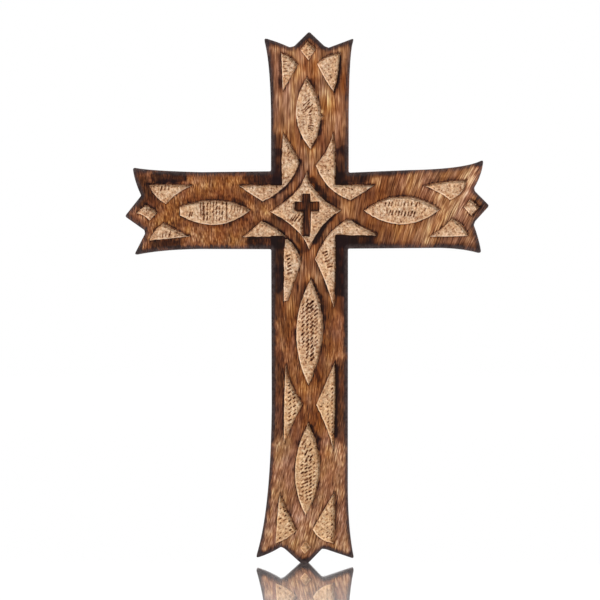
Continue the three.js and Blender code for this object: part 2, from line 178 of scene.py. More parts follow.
def read_outlines():
    """The cross's outline, the loops of its recesses and the paths of its two glue joints."""
    outline_edges = [level_edges(node, FRONT + CAD_EASE) for node in BOARDS]
    floor_edges = np.vstack([level_edges(node, FRONT + CARVE_DEPTH, of_floor=True)
                             for node in BOARDS])
    paths = []
    for edges, joint in zip(outline_edges[1:], JOINTS):
        low, high = loose_ends(edges)
        paths.append(np.array([low, (joint, -HALF_ARM), (joint, HALF_ARM), high]))
        lined = (np.abs(floor_edges[:, :, 0] - joint) < WELD).all(axis=1)
        within = (np.abs(floor_edges[:, :, 1]) < HALF_ARM).all(axis=1)
        floor_edges = floor_edges[~(lined & within)]
    return chained(np.vstack(outline_edges))[0], chained(floor_edges), paths


def joint_crossings(loops, paths):
    """Where the loops cross the glue joints."""
    found = []
    for path, joint in zip(paths, JOINTS):
        for loop in loops:
            lined = np.abs(loop[:, 0] - joint) < WELD
            found.extend(loop[lined & (np.abs(loop[:, 1]) < HALF_ARM)])
    return np.array(found)


def is_corner(loop, kept, sharp=math.radians(28), uneven=2.2):
    """Where a loop keeps a corner: at a turn, where its steps change, or at a kept point."""
    before = loop - np.roll(loop, 1, axis=0)
    after = np.roll(loop, -1, axis=0) - loop
    size_before = np.linalg.norm(before, axis=1)
    size_after = np.linalg.norm(after, axis=1)
    turn = np.abs(np.arctan2(before[:, 0] * after[:, 1] - before[:, 1] * after[:, 0],
                             (before * after).sum(axis=1)))
    ratio = np.maximum(size_before / size_after, size_after / size_before)
    corners = (turn > sharp) | (ratio > uneven)
    if len(kept):
        corners |= near_any(loop, kept)
    return corners


def smooth_run(points, pitch):
    """A curve through the points, as even steps that leave out the last one."""
    steps = np.linalg.norm(np.diff(points, axis=0), axis=1)
    places = np.concatenate([[0], np.cumsum(steps)])
    slopes = np.diff(points, axis=0) / steps[:, None]
    tangents = np.vstack([slopes[:1], np.zeros((len(points) - 2, 2)), slopes[-1:]])
    if len(points) > 2:
        share = (steps[:-1] / (steps[:-1] + steps[1:]))[:, None]
        tangents[1:-1] = slopes[:-1] * (1 - share) + slopes[1:] * share
        tangents[0] = 2 * slopes[0] - tangents[1]
        tangents[-1] = 2 * slopes[-1] - tangents[-2]
    count = max(1, round(places[-1] / pitch))
    at = np.linspace(0, places[-1], count + 1)[:-1]
    piece = np.clip(np.searchsorted(places, at, side="right") - 1, 0, len(steps) - 1)
    t = ((at - places[piece]) / steps[piece])[:, None]
    size = steps[piece][:, None]
    return ((2 * t ** 3 - 3 * t ** 2 + 1) * points[piece]
            + (t ** 3 - 2 * t ** 2 + t) * size * tangents[piece]
            + (3 * t ** 2 - 2 * t ** 3) * points[piece + 1]
            + (t ** 3 - t ** 2) * size * tangents[piece + 1])


def resampled(loop, pitch, kept=()):
    """The loop in even steps, curved between its corners."""
    corners = np.flatnonzero(is_corner(loop, kept))
    if len(corners) == 0:
        corners = np.array([0])
    loop = np.roll(loop, -corners[0], axis=0)
    stops = [*(corners - corners[0]), len(loop)]
    closed = np.vstack([loop, loop[:1]])
    runs = [smooth_run(closed[start:stop + 1], pitch) for start, stop in zip(stops, stops[1:])]
    return np.vstack(runs)


def normals(loop):
    """Unit normals that point to the left of the way the loop runs."""
    along = np.roll(loop, -1, axis=0) - np.roll(loop, 1, axis=0)
    along /= np.maximum(np.linalg.norm(along, axis=1, keepdims=True), 1e-9)
    return np.column_stack([-along[:, 1], along[:, 0]])


def hand_cut(loop, kept):
    """The loop with the slight waver of a knife, still where it crosses a glue joint."""
    drift = np.array([noise.noise(Vector((x * KNIFE_RATE, z * KNIFE_RATE, 3))) for x, z in loop])
    if len(kept):
        drift[near_any(loop, kept)] = 0
    return loop + normals(loop) * (drift * KNIFE_WAVER * 2)[:, None]


def gap_to(points, loops, limit, run=48):
    """Each point's distance to the nearest of the loops, and no more than the limit."""
    gaps = np.full(len(points), float(limit))
    for loop in loops:
        closed = np.vstack([loop, loop[:1]])
        for start in range(0, len(loop), run):
            stretch = closed[start:start + run + 1]
            low, high = stretch.min(axis=0) - limit, stretch.max(axis=0) + limit
            close = np.flatnonzero(((points > low) & (points < high)).all(axis=1))
            if len(close) == 0:
                continue
            a, ab = stretch[:-1], np.diff(stretch, axis=0)
            ap = points[close][:, None] - a
            t = np.clip((ap * ab).sum(axis=2) / (ab * ab).sum(axis=1), 0, 1)
            away = np.linalg.norm(ap - t[..., None] * ab, axis=2).min(axis=1)
            gaps[close] = np.minimum(gaps[close], away)
    return gaps


def inside(points, loops):
    """Whether each point is inside the loops, where a loop within a loop is outside again."""
    within = np.zeros(len(points), bool)
    for loop in loops:
        low, high = loop.min(axis=0), loop.max(axis=0)
        close = np.flatnonzero(((points >= low) & (points <= high)).all(axis=1))
        x, z = points[close].T
        crossed = np.zeros(len(close), bool)
        for (x0, z0), (x1, z1) in zip(loop, np.roll(loop, -1, axis=0)):
            if z0 != z1:
                spans = (z0 > z) != (z1 > z)
                crossed ^= spans & (x < x0 + (z - z0) * (x1 - x0) / (z1 - z0))
        within[close] ^= crossed
    return within


def hex_grid(low, high, pitch):
    """Points of an even triangular grid over a rectangle."""
    rows = np.arange(low[1], high[1], pitch * math.sqrt(3) / 2)
    columns = np.arange(low[0], high[0], pitch)
    x = columns[None] + (np.arange(len(rows)) % 2)[:, None] * pitch / 2
    z = np.broadcast_to(rows[:, None], x.shape)
    return np.column_stack([x.ravel(), z.ravel()])


def offset_rows(loops, distances, side):
    """Rows of points beside the loops, where nothing else is nearer."""
    rows = []
    for distance in distances:
        row = np.vstack([loop + side * distance * normals(loop) for loop in loops])
        rows.append(row[gap_to(row, loops, 2) > 0.9 * distance])
    return np.vstack(rows)


outline_rough, recesses_rough, joint_corners = read_outlines()
crossings = joint_crossings(recesses_rough, joint_corners)
outline = np.clip(resampled(outline_rough, OUTLINE_PITCH, np.vstack(joint_corners)),
                  [cad_box[0].x / MM, cad_box[0].z / MM], [cad_box[1].x / MM, cad_box[1].z / MM])
recesses = [hand_cut(resampled(loop, CUT_PITCH, crossings), crossings)
            for loop in recesses_rough]


def joint_path(corners, joint):
    """A glue joint from side to side of the cross, with a point at each recess's edge."""
    crossed = crossings[np.abs(crossings[:, 0] - joint) < WELD]
    stops = np.vstack([corners, crossed])
    stops = stops[np.argsort(stops[:, 1])]
    points = []
    for start, stop in zip(stops, stops[1:]):
        count = max(1, round(np.linalg.norm(stop - start) / JOINT_PITCH))
        points.extend(start + (stop - start) * step / count for step in range(count))
    return np.array([*points, stops[-1]])


joint_paths = [joint_path(corners, joint) for corners, joint in zip(joint_corners, JOINTS)]


def triangles_through(points, edges, faces):
    """Triangles inside the faces, through all the points and along the edges."""
    return delaunay_2d_cdt([Vector(point) for point in points], edges, faces, 1, 1e-4)


def layer(free_points, cuts=()):
    """A flat mesh of the cross through all these points, as (points, triangles, map).

    The map gives each point of the outline and the joint paths its place in the mesh."""
    faces, edges = [list(range(len(outline)))], []
    start = len(outline)
    for path in joint_paths:
        edges.extend((start + step, start + step + 1) for step in range(len(path) - 1))
        start += len(path)
    rim_size = start
    for loop in cuts:
        faces.append(list(range(start, start + len(loop))))
        start += len(loop)
    points = np.vstack([outline, *joint_paths, *cuts, free_points])
    made = triangles_through(points, edges, faces)
    placed = np.full(rim_size, -1)
    for index, sources in enumerate(made[3]):
        for source in sources:
            if source < rim_size:
                placed[source] = index
    return np.array(made[0]), np.array(made[2]), placed


def wave(points, size, seed):
    """Smooth noise from -1 to 1 over the plane, with hills about this size."""
    return np.array([noise.noise(Vector((x / size, z / size, seed))) for x, z in points])


def rounded(gap, radius=EDGE_ROUND):
    """How deep a worn edge has dropped at this distance from the outline."""
    share = np.clip(1 - gap / radius, 0, 1)
    return radius * (1 - np.sqrt(1 - share ** 2))


def front_layer():
    """The carved face: points, triangles, the map of its rim, and each point's depth."""
    low, high = outline.min(axis=0), outline.max(axis=0)
    ground = hex_grid(low, high, GROUND_PITCH)
    ground = ground[inside(ground, recesses_rough)]
    ground = ground[gap_to(ground, recesses, 1) > GROUND_FROM_CUT]
    raised = hex_grid(low, high, RAISED_PITCH)
    raised = raised[inside(raised, [outline_rough]) & ~inside(raised, recesses_rough)]
    raised = raised[(gap_to(raised, [outline], 2) > RAISED_FROM_RIM)
                    & (gap_to(raised, recesses, 2) > RAISED_FROM_CUT)]
    edge_rows = offset_rows([outline], RIM_ROWS, 1)
    cut_rows = offset_rows(recesses, CUT_ROWS, 1)
    lip_rows = offset_rows(recesses, CUT_ROWS, -1)
    near_cuts = [row[inside(row, [outline_rough])] for row in (cut_rows, lip_rows)]
    free = np.vstack([ground, raised, edge_rows, *near_cuts])
    points, triangles, placed = layer(free, recesses)
    rim = gap_to(points, [outline], LIP_REACH)
    lip = gap_to(points, recesses, LIP_REACH)
    sunk = inside(points, recesses) & (lip > WELD)
    worn = LIP_WEAR * np.exp(-(lip / LIP_WEAR_WIDTH) ** 2)
    top = rounded(rim) + np.where(sunk, LIP_WEAR, worn)
    hills = 0.5 + 0.5 * wave(points, *FACE_HILLS)
    top += SURFACE_WAVE * hills * np.clip(rim / WAVE_EASE, 0, 1)
    fall = np.clip(lip / WALL_LEAN, 0, 1) ** WALL_BOW
    uneven = GROUND_WAVE * np.clip(lip / WAVE_EASE, 0, 1) * wave(points, *GROUND_HILLS)
    bed = CARVE_DEPTH - LIP_WEAR + uneven
    return points, triangles, placed, top + np.where(sunk, fall * bed, 0)


def back_layer():
    """The flat back: points, triangles, the map of its rim, and each point's depth."""
    low, high = outline.min(axis=0), outline.max(axis=0)
    grid = hex_grid(low, high, BACK_PITCH)
    grid = grid[inside(grid, [outline_rough]) & (gap_to(grid, [outline], 4) > BACK_FROM_RIM)]
    rows = offset_rows([outline], BACK_ROWS, 1)
    points, triangles, placed = layer(np.vstack([grid, rows]))
    rim = gap_to(points, [outline], LIP_REACH)
    hills = 0.5 + 0.5 * wave(points, *BACK_HILLS)
    return points, triangles, placed, rounded(rim) + SURFACE_WAVE * hills * np.clip(rim, 0, 1)


def board_of(points):
    """Which board each point of the cross is on: 0 for the upright, 1 left arm, 2 right arm."""
    x, z = points.T
    beyond = np.maximum(np.abs(z) - HALF_ARM, 0)
    return np.where(x < JOINTS[0] - beyond, 1, np.where(x > JOINTS[1] + beyond, 2, 0))


def open_edges(triangles):
    """The edges, in the direction their triangle runs, that have a triangle on one side only."""
    edges = np.vstack([triangles[:, [0, 1]], triangles[:, [1, 2]], triangles[:, [2, 0]]])
    known = set(map(tuple, edges.tolist()))
    return [edge for edge in edges.tolist() if (edge[1], edge[0]) not in known]


def board_mesh(number, front, back):
    """One board's closed shell, from its share of the two faces and the walls between them."""
    front_points, front_triangles, front_map, front_depth = front
    back_points, back_triangles, back_map, back_depth = back
    own_front = front_triangles[board_of(front_points[front_triangles].mean(axis=1)) == number]
    own_back = back_triangles[board_of(back_points[back_triangles].mean(axis=1)) == number]
    shell = bmesh.new()
    made = {}

    def vert(key, x, y, z):
        if key not in made:
            made[key] = shell.verts.new((x * MM, y * MM, z * MM))
        return made[key]

    def front_vert(index):
        x, z = front_points[index]
        return vert(("front", index), x, FRONT + front_depth[index], z)

    def back_vert(index):
        x, z = back_points[index]
        return vert(("back", index), x, BACK - back_depth[index], z)

    for triangle in own_front.tolist():
        shell.faces.new([front_vert(index) for index in triangle])
    for triangle in own_back.tolist():
        shell.faces.new([back_vert(index) for index in reversed(triangle)])
    behind = dict(zip(front_map.tolist(), back_map.tolist()))
    for start, stop in open_edges(own_front):
        columns = []
        for index in (start, stop):
            top, bottom = front_vert(index), back_vert(behind[index])
            column = [top]
            for row in range(1, SIDE_ROWS):
                x, y, z = top.co.lerp(bottom.co, row / SIDE_ROWS) / MM
                column.append(vert(("side", index, row), x, y, z))
            columns.append([*column, bottom])
        for row in range(SIDE_ROWS):
            shell.faces.new([columns[0][row], columns[0][row + 1],
                             columns[1][row + 1], columns[1][row]])
    bmesh.ops.triangulate(shell, faces=[face for face in shell.faces if len(face.verts) > 3])
    return mesh_of(shell, list(BOARDS.values())[number])


def mesh_of(shape, name):
    mesh = bpy.data.meshes.new(name)
    shape.to_mesh(mesh)
    shape.free()
    return mesh


def placed_object(name, data):
    made = bpy.data.objects.new(name, data)
    bpy.context.scene.collection.objects.link(made)
    return made


def applied(thing):
    """The object's mesh with its modifiers worked in, which are then removed."""
    graph = bpy.context.evaluated_depsgraph_get()
    mesh = bpy.data.meshes.new_from_object(thing.evaluated_get(graph))
    thing.modifiers.clear()
    thing.data = mesh
    return mesh


def turned_cutter(profile, place, axis):
    """A cutter turned about an axis through a place, from [distance along, radius] pairs."""
    turn = Vector((0, 0, 1)).rotation_difference(Vector(axis)).to_matrix()
    angles = [2 * math.pi * step / TURN_STEPS for step in range(TURN_STEPS)]
    rings = []
    for along, radius in profile:
        spots = [Vector((radius * math.cos(a), radius * math.sin(a), along)) for a in angles]
        rings.append([(turn @ spot + Vector(place)) * MM for spot in spots])
    return cutter(rings)


def upright_slot(bottom, top, radius, near, far):
    """A cutter with round ends, standing in the back from y near to y far."""
    outline_points = []
    for centre, start in ((top, 0), (bottom, math.pi)):
        for step in range(END_STEPS + 1):
            angle = start + math.pi * step / END_STEPS
            outline_points.append((radius * math.cos(angle), centre + radius * math.sin(angle)))
    return cutter([[(x * MM, y * MM, z * MM) for x, z in outline_points] for y in (near, far)])


def cutter(rings):
    """A closed shape with these rings of points, one after the other."""
    shape = bmesh.new()
    rings = [[shape.verts.new(place) for place in ring] for ring in rings]
    count = len(rings[0])
    for low, high in zip(rings, rings[1:]):
        for step in range(count):
            after = (step + 1) % count
            shape.faces.new([low[step], low[after], high[after], high[step]])
    shape.faces.new(list(reversed(rings[0])))
    shape.faces.new(rings[-1])
    bmesh.ops.recalc_face_normals(shape, faces=shape.faces)
    return placed_object("cutter", mesh_of(shape, "cutter"))


def cut_away(board, cutters):
    tools = list(cutters)
    for tool in tools:
        cut = board.modifiers.new("cut", "BOOLEAN")
        cut.operation = "DIFFERENCE"
        cut.solver = "MANIFOLD"
        cut.object = tool
    applied(board)
    for tool in tools:
        bpy.data.objects.remove(tool)


# Joinery and hanger, from the boxes of their solids
DOWELS = ("dowel_left_upper", "dowel_left_lower", "dowel_right_upper", "dowel_right_lower")
SCREWS = ("hanger_screw_upper", "hanger_screw_lower")
FIT = 0.15
DOWEL_END_ROOM = 0.8
HANGER_GAP = 0.3
NAIL_ROOM_DEPTH = 5
NAIL_ROOM_SIDE = 1.5
ENTRY_RADIUS = 4.5
ENTRY_DROP = 4
SLOT_RADIUS = 2.5
SLOT_TRAVEL = 9
SCREW_RADIUS = 1.5
SCREW_POINT = 2.5


def middle_and_size(node):
    low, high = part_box(node)
    return (low + high) / 2 / MM, (high - low) / MM


def dowel_bore(node):
    middle, size = middle_and_size(node)
    radius, reach = size.y / 2 + FIT, size.x / 2 + DOWEL_END_ROOM
    return turned_cutter([(-reach, radius), (reach, radius)], middle, (1, 0, 0))


def hanger_cutters():
    middle, size = middle_and_size("keyhole_hanger")
    radius, reach = size.x / 2 + HANGER_GAP, size.z / 2 - size.x / 2
    front = middle.y - size.y / 2
    entry = middle.z - ENTRY_DROP
    pocket = upright_slot(middle.z - reach, middle.z + reach, radius, 1, front)
    nail_room = upright_slot(entry, entry + SLOT_TRAVEL, ENTRY_RADIUS + NAIL_ROOM_SIDE,
                             1, front - NAIL_ROOM_DEPTH)
    return [pocket, nail_room, *(screw_hole(node) for node in SCREWS)]


def screw_hole(node):
    middle, size = middle_and_size(node)
    radius, tip = SCREW_RADIUS + FIT, size.y / 2 + FIT
    profile = [(-size.y / 2 - 1, radius), (tip - SCREW_POINT, radius), (tip, 0.1)]
    return turned_cutter(profile, middle, (0, -1, 0))


front = front_layer()
back = back_layer()
upright, left_arm, right_arm = boards = [
    placed_object(name, board_mesh(number, front, back))
    for number, name in enumerate(BOARDS.values())]
cut_away(upright, [*map(dowel_bore, DOWELS), *hanger_cutters()])
cut_away(left_arm, map(dowel_bore, DOWELS[:2]))
cut_away(right_arm, map(dowel_bore, DOWELS[2:]))


# Where the torch passed over the raised wood: from, to, half width, soft edge, how dark. Strokes that hug
# a recess's edge also darken the wall below it, partly as torch burn and partly as painted shade
SCORCH = {
    "border of the upper left corner": [
        ((-19, 33), (-19, 15), 3.4, 2, 0.34), ((-19, 40), (-19, 34), 3, 4, 0.2),
        ((-34, 18.5), (-15, 18.5), 3.4, 2.5, 0.34), ((-20.5, 30), (-21.5, 40), 1, 1, 0.16)],
    "border of the upper right corner": [
        ((18.5, 42), (18.5, 36), 3, 4, 0.2), ((18.5, 34), (18.5, 15), 3.6, 2, 0.36),
        ((15, 18.3), (31, 18.8), 3.3, 2.2, 0.36), ((31, 20.5), (48, 21), 1.6, 2.2, 0.26)],
    "border of the lower left corner": [
        ((-18.5, -46), (-18.5, -54), 3.4, 3.5, 0.2), ((-18.5, -15), (-18.5, -44), 3.7, 2, 0.4),
        ((-33, -18.5), (-15, -18.5), 3.4, 2.2, 0.36)],
    "border of the lower right corner": [
        ((18.2, -46), (18.6, -56), 3.4, 3.5, 0.24), ((18.2, -15), (18.2, -46), 3.7, 1.8, 0.44),
        ((15, -18), (34, -18), 3.5, 2.2, 0.45), ((34, -20), (49, -20.5), 1.8, 2.4, 0.24)],
    "left end": [
        ((-88, 18.5), (-73.5, 19), 3.2, 1.2, 0.38), ((-89, 16.5), (-78, 16.3), 1, 1.6, 0.14),
        ((-97, 18), (-93, 6), 5, 5, 0.2), ((-98, 4), (-97.5, 2.5), 1.8, 2.6, 0.24),
        ((-102, -4), (-95, -8), 1.6, 3, 0.14), ((-93, 14), (-86, 3), 2.4, 4, 0.1),
        ((-86, 8), (-83, 5), 2, 2.5, 0.12), ((-90, -19.5), (-76, -19.3), 2.4, 1.6, 0.28),
        ((-79.5, -17), (-78.5, -20), 1.2, 1.4, 0.12)],
    "left leaf": [
        ((-72, 5.5), (-66, 7), 1.2, 1.8, 0.12), ((-66, 7), (-45, 7.4), 0.9, 1.4, 0.13),
        ((-44, 6.5), (-38, 3.5), 1.2, 1.8, 0.24), ((-71, -5), (-62, -9), 1, 1.2, 0.15),
        ((-58, -10), (-46, -9), 0.8, 1.4, 0.1), ((-46, -7.8), (-38, -4), 1.2, 1.8, 0.14),
        ((-38, -4.6), (-36.5, -5), 1.2, 1.8, 0.16), ((-38, 8.5), (-30, 5.5), 1.4, 2, 0.12)],
    "band above left of the star": [
        ((-21, 8), (-14, 12.8), 1.2, 2, 0.3), ((-13, 13.8), (-8, 20.4), 1.1, 1.8, 0.28),
        ((-7.5, 21), (-5.2, 28), 1, 1.6, 0.3), ((-19, 4), (-9, 9.5), 1.2, 1.8, 0.2),
        ((-8, 10), (-4.6, 16), 0.8, 1.6, 0.14)],
    "band below left of the star": [
        ((-21.5, -3.2), (-15, -6), 1.4, 2, 0.28), ((-26, -6), (-21, -8), 1, 1.6, 0.16),
        ((-22, -5.5), (-13, -10), 2.2, 3, 0.14), ((-14, -8), (-8, -12.5), 0.9, 1.4, 0.12),
        ((-13, -15.5), (-6, -24), 1.2, 1.6, 0.24), ((-8, -15), (-3, -23), 1.6, 2.4, 0.18)],
    "band above right of the star": [
        ((1.4, 18), (5, 12.8), 1.4, 1.8, 0.36), ((5.4, 12.6), (9, 7.8), 1.5, 2, 0.34),
        ((9, 7), (16, 4.2), 2.2, 2.4, 0.2), ((15, 9.5), (22, 6), 0.8, 1.4, 0.14),
        ((6, 16), (12, 10), 1, 2, 0.1)],
    "band below right of the star": [
        ((13.4, -2.6), (8, -9), 1.6, 1.8, 0.38), ((8, -9), (3, -17.8), 1.6, 1.8, 0.4),
        ((6, -15.5), (9, -24), 1.8, 2.4, 0.16)],
    "right leaf": [
        ((25.5, -5.6), (27, -6.5), 1.1, 1.5, 0.24), ((28, -7), (36, -9.5), 1.3, 2, 0.14),
        ((24, 6.2), (30, 8.5), 1, 1.8, 0.14), ((33, 10), (33.5, 7), 1.2, 1.8, 0.1),
        ((41, 10.5), (47, 10.5), 1.6, 2.4, 0.1), ((66, 7.5), (67.5, 5.5), 1, 1.8, 0.14),
        ((30, 9), (42, 14), 4, 5, 0.08), ((27, -9), (45, -13), 3, 4, 0.08),
        ((70, -3.2), (72.5, -2), 0.7, 1, 0.14), ((39, -9.2), (43, -9.4), 0.9, 1.4, 0.08)],
    "right end": [
        ((68, 17.3), (84, 18.4), 0.8, 1.4, 0.14), ((72, -19.6), (93, -21), 1.5, 2.2, 0.2),
        ((50, -19.5), (63, -19.5), 1.4, 2.4, 0.12), ((93, -2), (98, 1), 1.6, 2, 0.22),
        ((91, -10), (95.5, -17), 2, 3, 0.14), ((95, 5.4), (99.5, 3), 1.6, 2, 0.14),
        ((74, -16.5), (86, -16.5), 1.4, 2.5, 0.1)],
    "small cross": [((-1.9, 9), (-2, -14), 2.2, 1, 0.16), ((-8, 2.5), (4.5, 2.5), 2.6, 1, 0.16),
                    ((-7.6, 3.6), (-4.6, 3.4), 1, 1.2, 0.08), ((3.6, 3.8), (5, 3.4), 1, 1.2, 0.1),
                    ((-0.6, -7), (-0.6, -13.5), 0.9, 1, 0.1), ((-2, 8.6), (-2, 7), 1.4, 1.4, 0.08)],
    "tips of the ends": [
        ((-25.6, 98), (-23.6, 95), 1.2, 2.4, 0.36), ((25, 98), (23.4, 95), 1.3, 2.4, 0.36),
        ((98.6, 28), (95.5, 26), 1.2, 2.2, 0.42), ((97.3, -24), (95.6, -21), 1.3, 2.2, 0.34),
        ((-99.6, -25), (-97, -23), 1.1, 2.2, 0.3), ((-100.4, 23.6), (-98.6, 21.4), 1.2, 2.2, 0.28),
        ((-30, -198.4), (-27.6, -196), 1.4, 2.6, 0.4), ((25, -199), (23.4, -196), 1.3, 2.4, 0.36),
        ((-5, -201), (-1, -201), 1.6, 2.4, 0.34), ((102, 2.6), (99.4, 2.5), 1.5, 2.6, 0.2),
        ((-105, -3.5), (-102.5, -3.3), 1.2, 2.4, 0.26), ((-0.4, 101.4), (-0.4, 99.4), 1.6, 2.4, 0.16)],
    "top end": [
        ((-7, 94.6), (-1, 100.5), 1.7, 1.6, 0.32), ((7, 94), (1, 100), 2.2, 1.8, 0.36),
        ((-23, 96), (-9, 91.5), 1.1, 1.8, 0.16), ((23, 96), (9, 91.5), 1.2, 1.8, 0.18),
        ((0.8, 74.5), (4.6, 69), 0.8, 1.3, 0.2), ((4.8, 68), (6, 62), 0.5, 1, 0.12),
        ((-3.5, 73), (-6, 68), 0.5, 1, 0.12), ((7.4, 51), (5.5, 43.5), 1, 1.3, 0.3),
        ((4.5, 41), (2, 37), 1, 1.8, 0.2), ((10, 45), (8.5, 33), 1.9, 2.4, 0.13),
        ((17.2, 87.5), (17, 79), 0.9, 1.2, 0.3), ((17, 79), (14.6, 68), 1, 1.2, 0.3),
        ((21, 86), (21.4, 72), 0.9, 1.6, 0.12), ((14.2, 68), (13.6, 66.4), 0.6, 1.2, 0.2),
        ((20.4, 47), (20.6, 40), 1.4, 2, 0.16), ((-17.2, 88.5), (-17.4, 70.5), 0.8, 1.2, 0.28),
        ((-22, 90), (-21.4, 66), 1.4, 2.4, 0.12), ((-4.4, 41), (-7.4, 52), 0.5, 1, 0.14)],
    "shaft, first leaf": [
        ((3, -43), (6.4, -50), 0.9, 1.2, 0.32), ((6.6, -50), (8.5, -62), 0.8, 1.3, 0.28),
        ((8.8, -62), (9, -70), 0.9, 1.4, 0.14), ((6.5, -78), (5, -84), 1.6, 2.4, 0.12),
        ((-2.6, -42), (-7, -55), 0.9, 1.6, 0.15), ((-8.4, -68), (-8, -78), 0.6, 1.2, 0.14),
        ((-9.4, -41), (-7, -44), 1, 1.8, 0.12), ((3.4, -92), (5.5, -97), 1.4, 1.8, 0.18),
        ((7.5, -40), (9.4, -46), 0.8, 1.2, 0.16)],
    "shaft, outer edges": [
        ((-21, -50), (-21.2, -132), 1.4, 2, 0.3), ((21, -48), (21, -80), 1.5, 2, 0.28),
        ((21.4, -96), (21.6, -134), 1.4, 2, 0.26), ((22, -140), (22.6, -160), 0.5, 1.2, 0.2),
        ((-21.8, -140), (-23, -176), 0.5, 1.2, 0.16)],
    "borders beside the wedges": [
        ((-19, -133.5), (-15.4, -130.6), 0.3, 0.7, 0.3),
        ((-18.6, -82), (-18.6, -129), 3.2, 2.4, 0.19),
        ((-15.6, -91), (-15.6, -128), 0.8, 1.2, 0.24),
        ((18, -88), (18, -129.5), 3.6, 2.4, 0.24), ((15.4, -89), (15.2, -129), 1.1, 1.2, 0.34)],
    "shaft, second leaf": [
        ((1.2, -124), (4.6, -131), 1, 1.2, 0.32), ((4.8, -131), (6, -136), 1.3, 1.4, 0.2),
        ((-2, -123.5), (-7, -134), 0.7, 1.3, 0.14), ((-8.6, -148), (-8, -164), 0.7, 1.2, 0.18),
        ((-7, -166), (-4.5, -172), 0.6, 1.2, 0.12), ((5.4, -156), (1.5, -170), 1, 1.4, 0.18),
        ((1.4, -112), (1.6, -116), 1, 1.4, 0.1), ((-4.6, -112), (-4.6, -121), 0.8, 1.4, 0.1)],
    "bottom end": [
        ((-19.2, -168), (-19.2, -180), 0.6, 1.1, 0.16), ((15.2, -163), (15.4, -188), 0.6, 1.2, 0.16),
        ((-13, -193.6), (-3, -202), 1.6, 2.4, 0.24), ((9, -193.6), (-2, -201), 1.6, 2.4, 0.24),
        ((-29, -198), (-18, -192.4), 1.4, 2.4, 0.24), ((24, -198.6), (9, -193.6), 1.4, 2.4, 0.24),
        ((-29.4, -196), (-24, -168), 0.9, 2, 0.2), ((24.4, -197), (22, -170), 0.9, 2, 0.2),
        ((21.5, -176), (22, -190), 0.7, 1.4, 0.14), ((-12, -168), (-11, -173), 1.4, 2, 0.1)],
}

# What makes the scorching ragged and patchy: how much, size and seed. Where two strokes
# overlap, this share of the paler one is added.
SCORCH_RAGGED = [(0.9, 3.4, 7), (0.6, 1.1, 8)]
SCORCH_PATCHY = (0.4, 4.5, 9)
SCORCH_OVERLAP = 0.35
